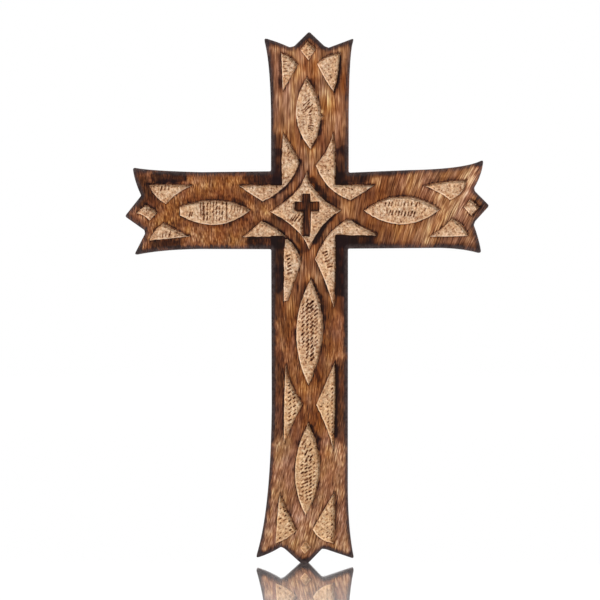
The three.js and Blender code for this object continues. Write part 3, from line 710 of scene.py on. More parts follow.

# Patches where the raised wood is lighter: place, radius, how light
LIGHTER_PATCHES = [
    (-5, 87, 3, 0.2), (-4, 78.5, 3.5, 0.28), (2, 79, 3, 0.24), (-7, 75, 2.6, 0.2),
    (2, 84, 5, 0.16), (-18, 91.5, 3, 0.16), (5, 90, 2.5, 0.1), (18, 91, 2.5, 0.1),
    (8, 67, 3, 0.28), (11, 63, 3.6, 0.3), (15, 62.5, 3, 0.26), (11, 57, 3, 0.14),
    (15, 53, 3.4, 0.16), (13, 46, 2.8, 0.18), (17, 43, 2, 0.12), (-13, 67.5, 3, 0.22),
    (-17, 65, 3, 0.16), (-13, 59, 4, 0.14), (-12, 51, 4, 0.12), (-18, 46, 2.4, 0.2),
    (-12, 43, 3, 0.22), (-8, 39, 3, 0.16), (-3, 34, 2.5, 0.22), (2.2, 34, 2.2, 0.28),
    (0, 26, 3, 0.18), (2, 21, 2, 0.14), (-24, 0, 2.6, 0.26), (-33, 1.5, 2.4, 0.2),
    (20, 0, 2.8, 0.26), (38.5, 15, 2.6, 0.2), (-43, 16, 3, 0.16), (-66, 15.5, 3, 0.2),
    (-62, 13.5, 3.4, 0.2), (-55, 14, 4, 0.12), (-50, 10.5, 3, 0.1), (-67, -13.5, 3.4, 0.26),
    (-61, -16.5, 3.6, 0.22), (-54, -15, 4, 0.16), (-45, -15.5, 4, 0.12), (-95, -4, 2.6, 0.22),
    (-91, -8, 3, 0.16), (-86.5, -6, 2.6, 0.18), (-93.5, -17.5, 3, 0.22), (-79, -4, 3.4, 0.14),
    (-80.5, 2, 2.4, 0.14), (-0.6, -38.5, 2.4, 0.22), (3.4, -38, 2.4, 0.2), (1.5, -24, 2, 0.12),
    (-3, -33, 2.4, 0.1), (-12.5, -54.5, 3.4, 0.24), (-11.5, -65, 3, 0.08), (-15, -77, 3, 0.1),
    (-12, -85, 3.4, 0.14), (-8, -91.5, 2.6, 0.16), (-3.5, -101, 3, 0.22), (0.5, -102.5, 2.6, 0.2),
    (12, -51, 1.8, 0.2), (15.5, -59, 2, 0.08), (16.4, -84, 3, 0.14), (12, -84, 2.6, 0.14),
    (54, 15.5, 3.4, 0.2), (58.5, 17, 3, 0.24), (63, 14.5, 3, 0.2), (74, 10, 3, 0.24),
    (49, -11, 3.4, 0.14), (56.5, -12.5, 3, 0.18), (68, -11.5, 3, 0.2), (73, -8.5, 3.4, 0.2),
    (77, -1, 3.4, 0.28), (83, 2.5, 4, 0.32), (88, 0, 3.4, 0.32), (89.5, 9, 3, 0.32),
    (92.5, 17, 3.6, 0.36), (95, 23, 3.4, 0.26), (68, -17.5, 3, 0.14), (92, -16, 2.2, 0.1),
    (39, -13, 2, 0.12), (-17, -134, 3.4, 0.18), (-13, -136, 2.6, 0.14), (-17.5, -147, 4, 0.14),
    (-18, -153, 3.2, 0.18), (-19.5, -161, 3.6, 0.26), (-14, -157, 3.4, 0.14),
    (12, -139, 4, 0.18), (16.5, -138, 3.4, 0.24), (18, -146, 2.8, 0.34), (17.6, -153, 3, 0.26),
    (11, -151, 4, 0.18), (15.8, -160, 3, 0.28), (9, -163, 2.8, 0.14), (18, -175, 2.8, 0.18),
    (-22.5, -172, 3, 0.12), (-23, -183, 3, 0.16), (-24, -190, 3.4, 0.16), (-5, -176, 3, 0.26),
    (0, -178, 3, 0.26), (-5.5, -183, 3, 0.24), (-2, -187, 3, 0.2), (3, -188.5, 2.4, 0.22),
    (-9, -190.5, 3, 0.18), (6, -172, 3, 0.12), (16, -190.5, 3, 0.24), (21, -193, 3, 0.26),
    (-13, -189, 3, 0.1), (6.8, 56.4, 0.9, 0.5), (7.3, 54.4, 0.9, 0.5), (0, -110, 4, 0.1),
    (-2, -118, 3, 0.1), (3, -126, 3, 0.08), (-80, -3, 5, 0.16), (-88, -9, 4, 0.1),
    (-76, 6, 3, 0.08), (-0.5, 31, 4, 0.08), (-10, 30, 2.6, 0.08)]

# Where the stain is more golden than the pinkish brown of the rest: place, radius. Behind the
# carved face it is the same all over.
GOLDEN = [(0, 80, 10), (2, 83.5, 5), (18, 72, 7), (0, 40, 12), (11, 60, 6), (-52, 0, 34),
          (-80, -6, 20), (42, 0, 24), (0, 2, 20), (0, -24, 10), (0, -62, 26), (0, -96, 20),
          (0, -118, 16), (-14, -58, 12), (10, -78, 12)]
BACK_GOLDEN = 0.4
GOLDEN_FALL = 1.5

# Rows of gouge marks in the grounds: from, to, spacing, slant in degrees, length, how strong
MARK_ROWS = {
    "top leaf": [
        ((-2.2, 61.6), (0.4, 57.4), 1.6, 47, 4.8, 0.85), ((-3.6, 62.6), (-2.6, 65.6), 1.7, 44, 1.6, 0.5),
        ((-2, 68), (-0.4, 65.6), 1.5, 30, 1.4, 0.5), ((-3.6, 57.6), (-3.4, 56.2), 1.2, 25, 1.8, 0.6),
        ((0.8, 56.8), (1, 55), 1.3, 50, 2, 0.7), ((0.2, 54.5), (0.3, 45.6), 1.2, 8, 1.5, 1),
        ((1, 51.4), (1, 45.8), 1.3, -15, 1.3, 1), ((-4, 53.6), (-3.9, 45.4), 1.5, 10, 1.4, 0.55)],
    "top triangles": [
        ((-14.2, 87.4), (-13.8, 77.5), 1.7, 8, 1.8, 0.75), ((-14.6, 76), (-14.4, 72), 2, 30, 1.1, 0.4),
        ((7.6, 86), (11.8, 77.5), 3.1, 20, 1.5, 0.7), ((14.4, 89.4), (15, 80), 4.6, 60, 1.3, 0.6)],
    "left leaf": [
        ((-57, 4.2), (-57.2, -4.4), 2.4, 80, 1.5, 1), ((-55.2, 4.4), (-55.2, -4.8), 2.3, 84, 1.6, 0.95),
        ((-53.5, 3.8), (-53.5, -4.2), 2.5, 78, 1.7, 1), ((-51.8, 4.6), (-51.8, -4.8), 2.4, 82, 1.6, 0.9),
        ((-50.1, 4), (-50.1, -4.2), 2.4, 80, 1.6, 0.95), ((-58.8, 3.4), (-58.8, -4.6), 2.2, 84, 1.7, 1.05),
        ((-62.6, 2.6), (-62.4, -2.8), 1.9, 86, 2.6, 1.3), ((-60.9, 3.2), (-60.7, -4), 2, 84, 2.4, 1.3),
        ((-47.9, 4), (-47.7, -4.4), 2.1, 84, 2, 1), ((-68.6, -2.6), (-67.4, -2.2), 0.8, 74, 2.2, 1.1),
        ((-45, 0.8), (-36.4, 0.4), 1.7, 76, 4.8, 0.6), ((-72.6, 0.4), (-64.8, 0.2), 1.7, -70, 3.2, 0.25)],
    "left triangles": [
        ((-85.2, 12.6), (-80.8, 12.8), 1.5, 80, 2.5, 1), ((-84.4, -14), (-80.4, -13.6), 2, 80, 2.8, 0.9),
        ((-88, 11.6), (-87, 9.8), 1.8, 60, 1, 0.4), ((-78, 12.6), (-74, 12.8), 2, 70, 1, 0.4)],
    "right leaf": [
        ((43.4, 3.4), (58, 3.6), 1.75, 80, 2.1, 0.9), ((45.6, -1.3), (60, -2.2), 1.7, 74, 2.4, 1.1),
        ((44, 0.6), (44.2, -1), 1.7, 80, 1.9, 0.9), ((50, 0.8), (61, 0.8), 2.6, 76, 1, 0.5),
        ((61.2, 3.4), (62.6, 3.8), 1, 70, 2.4, 1.2), ((64.4, -1.6), (66, 0.4), 1.9, 74, 1.3, 0.7),
        ((39.6, 4), (40.4, -0.8), 1.6, 88, 1.3, 0.5), ((63, -2), (68, -1), 2.4, 50, 1, 0.4),
        ((48.6, -4.6), (57, -4.8), 2.7, 84, 0.9, 0.5), ((46, 5.4), (60, 5.4), 3.1, 84, 0.8, 0.4)],
    "right triangles": [
        ((75.6, 13.9), (85, 14), 2, 70, 1.1, 0.5), ((75, -10.6), (86.6, -10.8), 2.1, 60, 1.1, 0.5)],
    "star": [
        ((-10.6, -4.6), (-5.6, -4.6), 1.6, 58, 4.2, 0.95), ((-13.6, 5), (-9, 4.2), 1.4, 50, 1.4, 0.7),
        ((-10, -8), (-5.6, -8.6), 2, 57, 2, 0.4), ((3.4, -6), (6, -3), 2, 60, 1.2, 0.35),
        ((0.8, 8.4), (2.8, 5.6), 1.4, 40, 1.4, 0.6), ((-15.4, -1), (-12.4, -2.6), 1.6, 60, 1.2, 0.4)],
    "corner recesses": [
        ((8.6, -24), (11.4, -32.5), 1.7, 24, 2.1, 1.3), ((11.6, -25), (12.6, -31), 2.2, 60, 1.4, 0.9),
        ((-12.4, -26), (-11.8, -36), 1.8, 26, 1.7, 1.25), ((-13.6, -37), (-13.6, -47), 2.1, 15, 1.1, 0.45),
        ((-13.4, 37), (-10.4, 28.8), 2, 60, 1.5, 0.7), ((9.2, 35.6), (12, 28.8), 2.3, 50, 1.2, 0.4)],
    "first shaft leaf": [
        ((-4, -54), (-3.8, -78), 2.2, 50, 1.9, 1.15), ((-1.5, -52), (-1.3, -84), 2.2, 52, 2.2, 1.35),
        ((1, -53), (1.2, -85), 2.2, 52, 2.2, 1.35), ((3.5, -55), (3.6, -77), 2.2, 50, 1.8, 1.1),
        ((0.2, -48), (0, -51), 1.6, 40, 1.2, 0.6), ((-0.4, -87), (-0.6, -92), 2.2, 40, 1, 0.4)],
    "wedges": [
        ((-11.8, -100), (-11.2, -127), 2.2, 42, 1.3, 1), ((-9, -103), (-8.9, -119), 2.2, 40, 1.3, 1.1),
        ((10.2, -106), (10.6, -128), 2.1, 60, 0.8, 0.9), ((12.8, -100), (12.8, -129), 2.2, 50, 0.8, 0.9)],
    "second shaft leaf": [
        ((-3.2, -133), (-1.6, -142), 2.6, 60, 3, 1.2), ((-0.2, -134), (1, -141), 2.4, 55, 1.5, 1),
        ((-4.6, -144), (-4.2, -161), 2.1, 38, 1.2, 1.05), ((-2.3, -144), (-2, -166), 2, 35, 1.3, 1.2),
        ((0.1, -143), (0.3, -165), 2, 42, 1.3, 1.15), ((2.3, -145), (2.2, -160), 2.2, 45, 1.1, 0.9)],
    "bottom triangles": [
        ((-16.9, -171), (-17, -187.6), 2.4, 35, 0.9, 0.9), ((-14.3, -172.4), (-14, -187.4), 2.5, 30, 1, 1),
        ((-11.6, -178), (-11, -186), 2.5, 35, 0.9, 0.85), ((12.4, -167), (12.6, -188), 2.5, 60, 0.9, 0.9),
        ((9.6, -171.8), (9.9, -187), 2.4, 40, 1, 0.95), ((6.9, -176.6), (7.1, -185.6), 2.5, 50, 0.9, 0.8)],
}
MARK_SCATTER = 0.22
MARK_HALF_WIDTH = 0.44
MARK_DEPTH = 0.55
STROKE_CHANGE = (0.8, 1.15)
STROKE_SWING = 0.16

# Pits of the punch between the gouge marks
PIT_SPACING = 1.05
PIT_RADIUS = 0.5
PIT_DEPTH = 0.25

# Heights below which the grounds turn yellower and the raised wood of the foot is lighter all over, with
# its lighter patches weaker
YELLOW_TOP = -60
YELLOW_FADE = 60
FOOT_TOP = -131
FOOT_FADE = 12
FOOT_LIFT = 0.03
FOOT_EVENNESS = 0.4

# Towards the key light in the plane of the face, and how far on the lie of a wall is felt for. Walls that
# face away from it get painted shade, and walls that face it a painted highlight
TO_LIGHT = (0.42, 0.908)
FACING_STEP = 0.5

# The diamond of the foot, whose cut is shallow to the eye: it gets no dark edge line, and its walls all
# round get the painted highlight
SOFT_CUT, SOFT_CUT_SIZE = (-2.8, -193), 8
SOFT_FACING = -0.3

# The ground is marked and punched from this far off its edge, fully so after this width
ROOM_START = 0.3
ROOM_WIDTH = 0.7

# Lean of the grain on each board
SHAFT_LEAN_START = -60
SHAFT_LEAN_RATE = 0.0019
LONG_GRAIN, SHORT_GRAIN = 0.5, 1.5
LEFT_ARM_LEAN = math.radians(-3)
RIGHT_ARM_LEAN = math.radians(7)
RIGHT_ARM_LEAN_RATE = 0.0042


def stroke_gap(points, start, stop):
    """Each point's distance to a straight stroke."""
    start, run = np.array(start, float), np.subtract(stop, start)
    t = np.clip(((points - start) @ run) / (run @ run), 0, 1)
    return np.linalg.norm(points - start - t[:, None] * run, axis=1)


def smooth_step(value):
    """From 0 to 1, easing at both ends."""
    value = np.clip(value, 0, 1)
    return value * value * (3 - 2 * value)


def scorch_at(points):
    """How dark the torch left each point."""
    ragged = sum(much * wave(points, size, seed) for much, size, seed in SCORCH_RAGGED)
    much, size, seed = SCORCH_PATCHY
    patchy = 1 + much * wave(points, size, seed)
    darkest = np.zeros(len(points))
    for strokes in SCORCH.values():
        for start, stop, half_width, soft, dark in strokes:
            gap = stroke_gap(points, start, stop) + ragged * min(1, half_width)
            stroke = dark * patchy * smooth_step((half_width + soft / 2 - gap) / soft)
            overlap = SCORCH_OVERLAP * np.minimum(darkest, stroke)
            darkest = np.maximum(darkest, stroke) + overlap
    return darkest


def lighter_patches_at(points):
    """How much lighter the raised wood is at each point."""
    light = np.zeros(len(points))
    foot = smooth_step((FOOT_TOP - points[:, 1]) / FOOT_FADE)
    for x, z, radius, lift in LIGHTER_PATCHES:
        apart = ((points - (x, z)) ** 2).sum(axis=1)
        light = np.maximum(light, lift * np.exp(-apart / (2 * radius ** 2)))
    return light * (1 - FOOT_EVENNESS * foot) + FOOT_LIFT * foot


def golden_at(points):
    """How golden the stain is at each point, from 0 to 1."""
    golden = np.zeros(len(points))
    for x, z, radius in GOLDEN:
        apart = ((points - (x, z)) ** 2).sum(axis=1)
        golden = np.maximum(golden, np.exp(-apart / (2 * (radius / GOLDEN_FALL) ** 2)))
    return golden


def grain_at(number, flat, into):
    """Grain coordinates: across, into and along the grain, in millimetres."""
    x, z = flat.T
    if number == 0:
        below = np.minimum(z - SHAFT_LEAN_START, 0)
        across = x + SHAFT_LEAN_RATE * below ** 2 / 2
        along = LONG_GRAIN * z + (1 - LONG_GRAIN) * below
    elif number == 1:
        across = x * math.cos(LEFT_ARM_LEAN) - z * math.sin(LEFT_ARM_LEAN) + 300
        along = SHORT_GRAIN * z + 500
    else:
        lean = RIGHT_ARM_LEAN + RIGHT_ARM_LEAN_RATE * (x - JOINTS[1])
        across = x * np.cos(lean) - z * np.sin(lean) + 700
        along = LONG_GRAIN * (x * np.sin(lean) + z * np.cos(lean)) + 900
    return np.column_stack([across, into, along])


def store(mesh, name, values, kind="FLOAT"):
    """Stores a value, or a vector, for each point of the mesh."""
    made = mesh.attributes.new(name, kind, "POINT")
    field = "value" if kind == "FLOAT" else "vector"
    made.data.foreach_set(field, np.ascontiguousarray(values).ravel())


def coordinates(mesh):
    """The mesh's points, in millimetres."""
    co = np.zeros(len(mesh.vertices) * 3)
    mesh.vertices.foreach_get("co", co)
    return co.reshape(-1, 3) / MM


def mark_surface(number, board):
    """Stores what the materials need: gaps to the edges, the lie of the walls to the key light for their
    painted shade and highlight, scorching, lighter patches and grain.
    """
    mesh = board.data
    triangulated(mesh)
    co = coordinates(mesh)
    flat = co[:, [0, 2]]
    ahead = co[:, 1] < FRONT + FACE_DEPTH
    rim = gap_to(flat, [outline], RIM_REACH)
    lip = gap_to(flat, recesses, LIP_REACH)
    in_recess = inside(flat, recesses) & ahead & (lip > WELD)
    # How each wall lies to the key light, which sets the painted shade and painted highlight on the walls
    shifted = flat + np.array(TO_LIGHT) * FACING_STEP
    shifted_gap = gap_to(shifted, recesses, LIP_REACH)
    signed = np.where(inside(flat, recesses), -lip, lip)
    signed_on = np.where(inside(shifted, recesses), -shifted_gap, shifted_gap)
    facing = np.where(ahead & (lip < WALL_REACH), (signed_on - signed) / FACING_STEP, 0)
    soft = np.linalg.norm(flat - SOFT_CUT, axis=1) < SOFT_CUT_SIZE
    facing = np.where(soft, SOFT_FACING, facing)
    store(mesh, "rim_gap", rim)
    store(mesh, "lip_gap", np.where(in_recess, -lip, np.where(ahead & ~soft, lip, LIP_REACH)))
    store(mesh, "wall_facing", np.clip(facing, -1, 1))
    store(mesh, "scorch", np.where(ahead, scorch_at(flat), 0))
    store(mesh, "lighter_patches", np.where(ahead, lighter_patches_at(flat), 0))
    store(mesh, "golden", np.where(ahead, golden_at(flat), BACK_GOLDEN))
    store(mesh, "yellowed", smooth_step((YELLOW_TOP - flat[:, 1]) / YELLOW_FADE))
    store(mesh, "grain", grain_at(number, flat, co[:, 1]), "FLOAT_VECTOR")
    store(mesh, "ground_room", np.where(in_recess, np.clip((lip - ROOM_START) / ROOM_WIDTH, 0, 1), 0))


def triangulated(mesh):
    shape = bmesh.new()
    shape.from_mesh(mesh)
    bmesh.ops.triangulate(shape, faces=shape.faces)
    shape.to_mesh(mesh)
    shape.free()


for number, board in enumerate(boards):
    mark_surface(number, board)


class Wiring:
    """Adds nodes to a tree. An input is a plain value, or the socket that it is linked to."""

    def __init__(self, tree):
        self.tree = tree

    def add(self, kind, inputs=None, **settings):
        node = self.tree.nodes.new(kind)
        for name, value in settings.items():
            setattr(node, name, value)
        for key, value in (inputs or {}).items():
            if isinstance(value, bpy.types.NodeSocket):
                self.tree.links.new(value, node.inputs[key])
            else:
                node.inputs[key].default_value = value
        return node

    def math(self, operation, *values):
        node = self.add("ShaderNodeMath", dict(enumerate(values)), operation=operation)
        return node.outputs[0]

    def vector_math(self, operation, *values):
        node = self.add("ShaderNodeVectorMath", dict(enumerate(values)), operation=operation)
        return node.outputs[0]

    def apart(self, vector):
        """The three parts of a vector."""
        return self.add("ShaderNodeSeparateXYZ", {0: vector}).outputs

    def joined(self, x=0.0, y=0.0, z=0.0):
        """A vector from its three parts."""
        return self.add("ShaderNodeCombineXYZ", {0: x, 1: y, 2: z}).outputs[0]

    def straight(self, value, low, high, start=0.0, stop=1.0, easing="LINEAR"):
        """The value from low to high turned into start to stop."""
        node = self.add("ShaderNodeMapRange", {"Value": value, "From Min": low, "From Max": high,
                                               "To Min": start, "To Max": stop},
                        interpolation_type=easing)
        return node.outputs[0]

    def smooth(self, value, low, high, start=0.0, stop=1.0):
        """As straight does, easing at both ends."""
        return self.straight(value, low, high, start, stop, "SMOOTHSTEP")

    def place(self):
        """Where a spot is on its object."""
        return self.add("ShaderNodeTexCoord").outputs["Object"]

    def blend(self, factor, first, second):
        """A mix of two colours."""
        node = self.add("ShaderNodeMix", {0: factor, 6: first, 7: second}, data_type="RGBA")
        return node.outputs[2]

    def noise(self, place, scale, detail=2.0, roughness=0.5):
        node = self.add("ShaderNodeTexNoise", {"Vector": place, "Scale": scale,
                                               "Detail": detail, "Roughness": roughness})
        return node.outputs[0]

    def ramp(self, value, stops):
        """A colour from a value, by stops of place and colour code."""
        node = self.add("ShaderNodeValToRGB", {0: value})
        elements = node.color_ramp.elements
        while len(elements) < len(stops):
            elements.new(0.5)
        for element, (at, code) in zip(elements, stops):
            element.position = at
            element.color = colour(code)
        return node.outputs[0]

    def named(self, label):
        """A number stored on the points."""
        return self.add("GeometryNodeInputNamedAttribute", {0: label}, data_type="FLOAT").outputs[0]

    def by_chance(self, low, high, seed):
        """A number between these, other for each point."""
        return self.add("FunctionNodeRandomValue", {2: low, 3: high, "Seed": seed},
                        data_type="FLOAT").outputs[1]

    def stored(self, geometry, label, value):
        """The geometry with a number stored on its points."""
        return self.add("GeometryNodeStoreNamedAttribute", {0: geometry, 2: label, 3: value},
                        data_type="FLOAT", domain="POINT").outputs[0]

    def dressed(self, geometry, material):
        """Real geometry with its material, as every tree hands it over."""
        solid = self.add("GeometryNodeRealizeInstances", {0: geometry}).outputs[0]
        return self.add("GeometryNodeSetMaterial", {0: solid, "Material": material}).outputs[0]


def tree_with(name, kind, inputs, outputs):
    """An empty node group, with its wiring and its input and output nodes."""
    tree = bpy.data.node_groups.new(name, kind)
    for label, socket, value in inputs:
        made = tree.interface.new_socket(label, in_out="INPUT", socket_type=socket)
        if value is not None:
            made.default_value = value
    for label, socket in outputs:
        tree.interface.new_socket(label, in_out="OUTPUT", socket_type=socket)
    return Wiring(tree), tree.nodes.new("NodeGroupInput").outputs, tree.nodes.new("NodeGroupOutput")


def hand_over(wires, node, **values):
    """Links values to a node's inputs, named with _ for a space."""
    for label, value in values.items():
        wires.tree.links.new(value, node.inputs[label.replace("_", " ")])


GEOMETRY, FLOAT, INTEGER = "NodeSocketGeometry", "NodeSocketFloat", "NodeSocketInt"
OBJECT, MATERIAL, VECTOR = "NodeSocketObject", "NodeSocketMaterial", "NodeSocketVector"


def run_tree(thing, tree, settings):
    """Works a Geometry Nodes tree into the object's own mesh."""
    modifier = thing.modifiers.new("tree", "NODES")
    modifier.node_group = tree
    for item in tree.interface.items_tree:
        if item.in_out == "INPUT" and item.name in settings:
            modifier[item.identifier] = settings[item.name]
    return applied(thing)


def gouge_tree():
    """A short gouge stroke at each step of each row, as a line of points."""
    wires, given, out = tree_with("gouge_rows", "GeometryNodeTree", [
        ("Geometry", GEOMETRY, None), ("Scatter", FLOAT, 0.0), ("Seed", INTEGER, 0),
        ("Material", MATERIAL, None)], [("Geometry", GEOMETRY)])
    seed = given["Seed"]
    rows = wires.add("GeometryNodeMeshToCurve", {0: given["Geometry"]})
    steps = wires.add("GeometryNodeResampleCurve", {0: rows.outputs[0],
                                                    "Length": wires.named("spacing")},
                      mode="LENGTH")
    away = wires.math("MULTIPLY", given["Scatter"], MM)
    nearer = wires.math("MULTIPLY", away, -1.0)
    drift = wires.add("FunctionNodeRandomValue", {0: wires.joined(nearer, 0.0, nearer),
                                                  1: wires.joined(away, 0.0, away),
                                                  "Seed": seed},
                      data_type="FLOAT_VECTOR")
    placed = wires.add("GeometryNodeSetPosition", {0: steps.outputs[0], "Offset": drift.outputs[0]})
    heft = wires.math("MULTIPLY", wires.named("heft"), wires.by_chance(*STROKE_CHANGE, seed))
    placed = wires.stored(placed.outputs[0], "heft", heft)
    stroke = wires.add("GeometryNodeMeshLine", {"Count": 5, "Start Location": (-0.5 * MM, 0, 0),
                                                "Offset": (0.5 * MM, 0, 0)}, mode="END_POINTS")
    length = wires.math("MULTIPLY", wires.named("reach"), wires.by_chance(*STROKE_CHANGE, seed))
    turn = wires.math("SUBTRACT", wires.by_chance(-STROKE_SWING, STROKE_SWING, seed),
                      wires.named("slant"))
    strokes = wires.add("GeometryNodeInstanceOnPoints", {
        0: placed, "Instance": stroke.outputs[0], "Rotation": wires.joined(0.0, turn),
        "Scale": wires.joined(length, 1.0, 1.0)})
    hand_over(wires, out, Geometry=wires.dressed(strokes.outputs[0], given["Material"]))
    return wires.tree


def press_tree():
    """Presses the gouge strokes and the point of a punch into the ground of the recesses."""
    wires, given, out = tree_with("pressed_ground", "GeometryNodeTree", [
        ("Geometry", GEOMETRY, None), ("Strokes", OBJECT, None), ("Half width", FLOAT, 0.5),
        ("Depth", FLOAT, 0.5), ("Pit spacing", FLOAT, 1.0), ("Pit radius", FLOAT, 0.5),
        ("Pit depth", FLOAT, 0.1), ("Material", MATERIAL, None)], [("Geometry", GEOMETRY)])
    strokes = wires.add("GeometryNodeObjectInfo", {0: given["Strokes"]}).outputs["Geometry"]
    place = wires.add("GeometryNodeInputPosition").outputs[0]
    x, _, z = wires.apart(place)
    flat = wires.joined(x, FRONT * MM, z)
    gap = wires.add("GeometryNodeProximity", {0: strokes, "Sample Position": flat},
                    target_element="EDGES").outputs["Distance"]
    nearest = wires.add("GeometryNodeSampleNearest", {0: strokes, "Sample Position": flat},
                        domain="POINT").outputs[0]
    heft = wires.add("GeometryNodeSampleIndex", {0: strokes, 1: wires.named("heft"),
                                                 "Index": nearest},
                     data_type="FLOAT", domain="POINT").outputs[0]
    wide = wires.math("MULTIPLY", wires.math("MAXIMUM", heft, 0.8), given["Half width"])
    share = wires.math("DIVIDE", wires.math("DIVIDE", gap, MM), wide)
    room = wires.named("ground_room")
    press = wires.math("MULTIPLY", wires.smooth(share, 1.25, 0.3), heft)
    press = wires.math("MULTIPLY", press, room)
    spread = wires.math("DIVIDE", 1 / MM, given["Pit spacing"])
    punched = wires.add("ShaderNodeTexVoronoi", {"Vector": flat, "Scale": spread})
    near_pit = wires.math("MULTIPLY", punched.outputs["Distance"], given["Pit spacing"])
    pit = wires.smooth(wires.math("DIVIDE", near_pit, given["Pit radius"]), 1.0, 0.3)
    chance = wires.apart(punched.outputs["Color"])[0]
    pit = wires.math("MULTIPLY", pit, wires.smooth(chance, 0.2, 0.9))
    pit = wires.math("MULTIPLY", pit, wires.smooth(share, 1.6, 3.4))
    # Calm, near the strokes, clears the specks and gives the ground the painted highlight between gouges
    calm = wires.math("MULTIPLY", wires.smooth(share, 3.6, 1.6), room)
    pit = wires.math("MULTIPLY", pit, room)
    deep = wires.math("MULTIPLY", press, given["Depth"])
    deep = wires.math("MULTIPLY_ADD", pit, given["Pit depth"], deep)
    offset = wires.joined(0.0, wires.math("MULTIPLY", deep, MM))
    marked = given["Geometry"]
    dark = wires.math("MINIMUM", press, 1.0)
    for label, value in (("mark", dark), ("pit", pit), ("calm", calm)):
        marked = wires.stored(marked, label, value)
    moved = wires.add("GeometryNodeSetPosition", {0: marked, "Offset": offset})
    hand_over(wires, out, Geometry=wires.dressed(moved.outputs[0], given["Material"]))
    return wires.tree


def mark_rows_object():
    """A mesh with one edge for each row of strokes, which carries what the row is like."""
    rows = [row for group in MARK_ROWS.values() for row in group]
    ends = [(x * MM, FRONT * MM, z * MM) for row in rows for x, z in row[:2]]
    mesh = bpy.data.meshes.new("gouge_strokes")
    mesh.from_pydata(ends, [(2 * row, 2 * row + 1) for row in range(len(rows))], [])
    both = np.repeat(np.array([row[2:] for row in rows], float), 2, axis=0)
    store(mesh, "spacing", both[:, 0] * MM)
    store(mesh, "slant", np.radians(both[:, 1]))
    store(mesh, "reach", both[:, 2])
    store(mesh, "heft", both[:, 3])
    return placed_object("gouge_strokes", mesh)


def colour(code):
    """A colour written as on the web, as linear light with full alpha."""
    parts = [int(code[place:place + 2], 16) / 255 for place in (0, 2, 4)]
    return [part / 12.92 if part <= 0.04045 else ((part + 0.055) / 1.055) ** 2.4
            for part in parts] + [1.0]


# The stain from burnt black to bare wood, and the ground from the gouged parts to the palest, where the
# painted highlight on the walls reaches
STAIN = [(0, "1a0e0e"), (0.1, "2d1814"), (0.2, "45291b"), (0.3, "593625"), (0.4, "6c4530"),
         (0.5, "7e533a"), (0.6, "906346"), (0.7, "a5785a"), (0.8, "bc906c"), (1, "dfbf98")]
GOLDEN_STAIN = [(0, "1b0e0a"), (0.1, "2f180f"), (0.2, "452311"), (0.3, "5b2f17"), (0.4, "6e3c1d"),
                (0.5, "814b26"), (0.6, "945c33"), (0.7, "ab7444"), (0.8, "c28d5a"), (1, "e2bd86")]
GROUND = [(0, "220f09"), (0.15, "4c291c"), (0.3, "764d36"), (0.45, "9d7456"), (0.6, "b69070"),
          (0.8, "ceac8b"), (1, "e7c9ab")]

# The stained wood's middle tone, how much darker it is where it is golden, and the ground's
# change of colour towards the foot
STAIN_TONE = 0.53
GOLDEN_DEPTH = 0.12
YELLOWER = (0.985, 0.965, 0.88)

# Patches of other tints: size in millimetres, how far the green and the blue move
RAISED_TINTS = [(11, -0.07, -0.14), (4, -0.05, -0.14), (7, 0.03, -0.09)]
GROUND_TINTS = [(6, -0.05, -0.12), (1.2, -0.07, -0.12)]

# A pale grey painted along the outline as the sheen of its rounded edge, how much of it there is and how
# far it reaches
EDGE_SHEEN = "706260"
SHEEN_ON_RIM = 0.32
SHEEN_WIDTH = 2.9


def grain_group():
    """The wood's grain: streaks, pores, broad bands, warmth and blotches along the fibres."""
    wires, given, out = tree_with("wood_grain", "ShaderNodeTree", [("Grain", VECTOR, None)], [
        ("Streak", FLOAT), ("Pore", FLOAT), ("Band", FLOAT), ("Warmth", FLOAT),
        ("Blotch", FLOAT)])

    def stretched(x, y, z):
        return wires.vector_math("MULTIPLY", given["Grain"], (x, y, z))

    broad = wires.noise(stretched(0.12, 0.1, 0.022), 1.0, 3.0)
    wide = wires.noise(stretched(0.9, 0.4, 0.11), 1.0, 1.0, 0.5)
    thin = wires.noise(stretched(1.85, 0.8, 0.21), 1.0, 1.5, 0.6)
    streak = wires.math("MULTIPLY_ADD", wide, 0.32, wires.math("MULTIPLY", thin, 0.68))
    streak = wires.straight(streak, 0.36, 0.64)
    blotch = wires.noise(stretched(0.4, 0.3, 0.3), 1.0, 3.0)
    pore = wires.noise(stretched(1.8, 1.2, 0.2), 1.0, 1.0)
    warmth = wires.noise(stretched(0.16, 0.12, 0.05), 1.7, 2.0)
    hand_over(wires, out, Streak=streak, Pore=wires.smooth(pore, 0.4, 0.27), Band=broad,
              Warmth=warmth, Blotch=wires.straight(blotch, 0.35, 0.65))
    return wires.tree


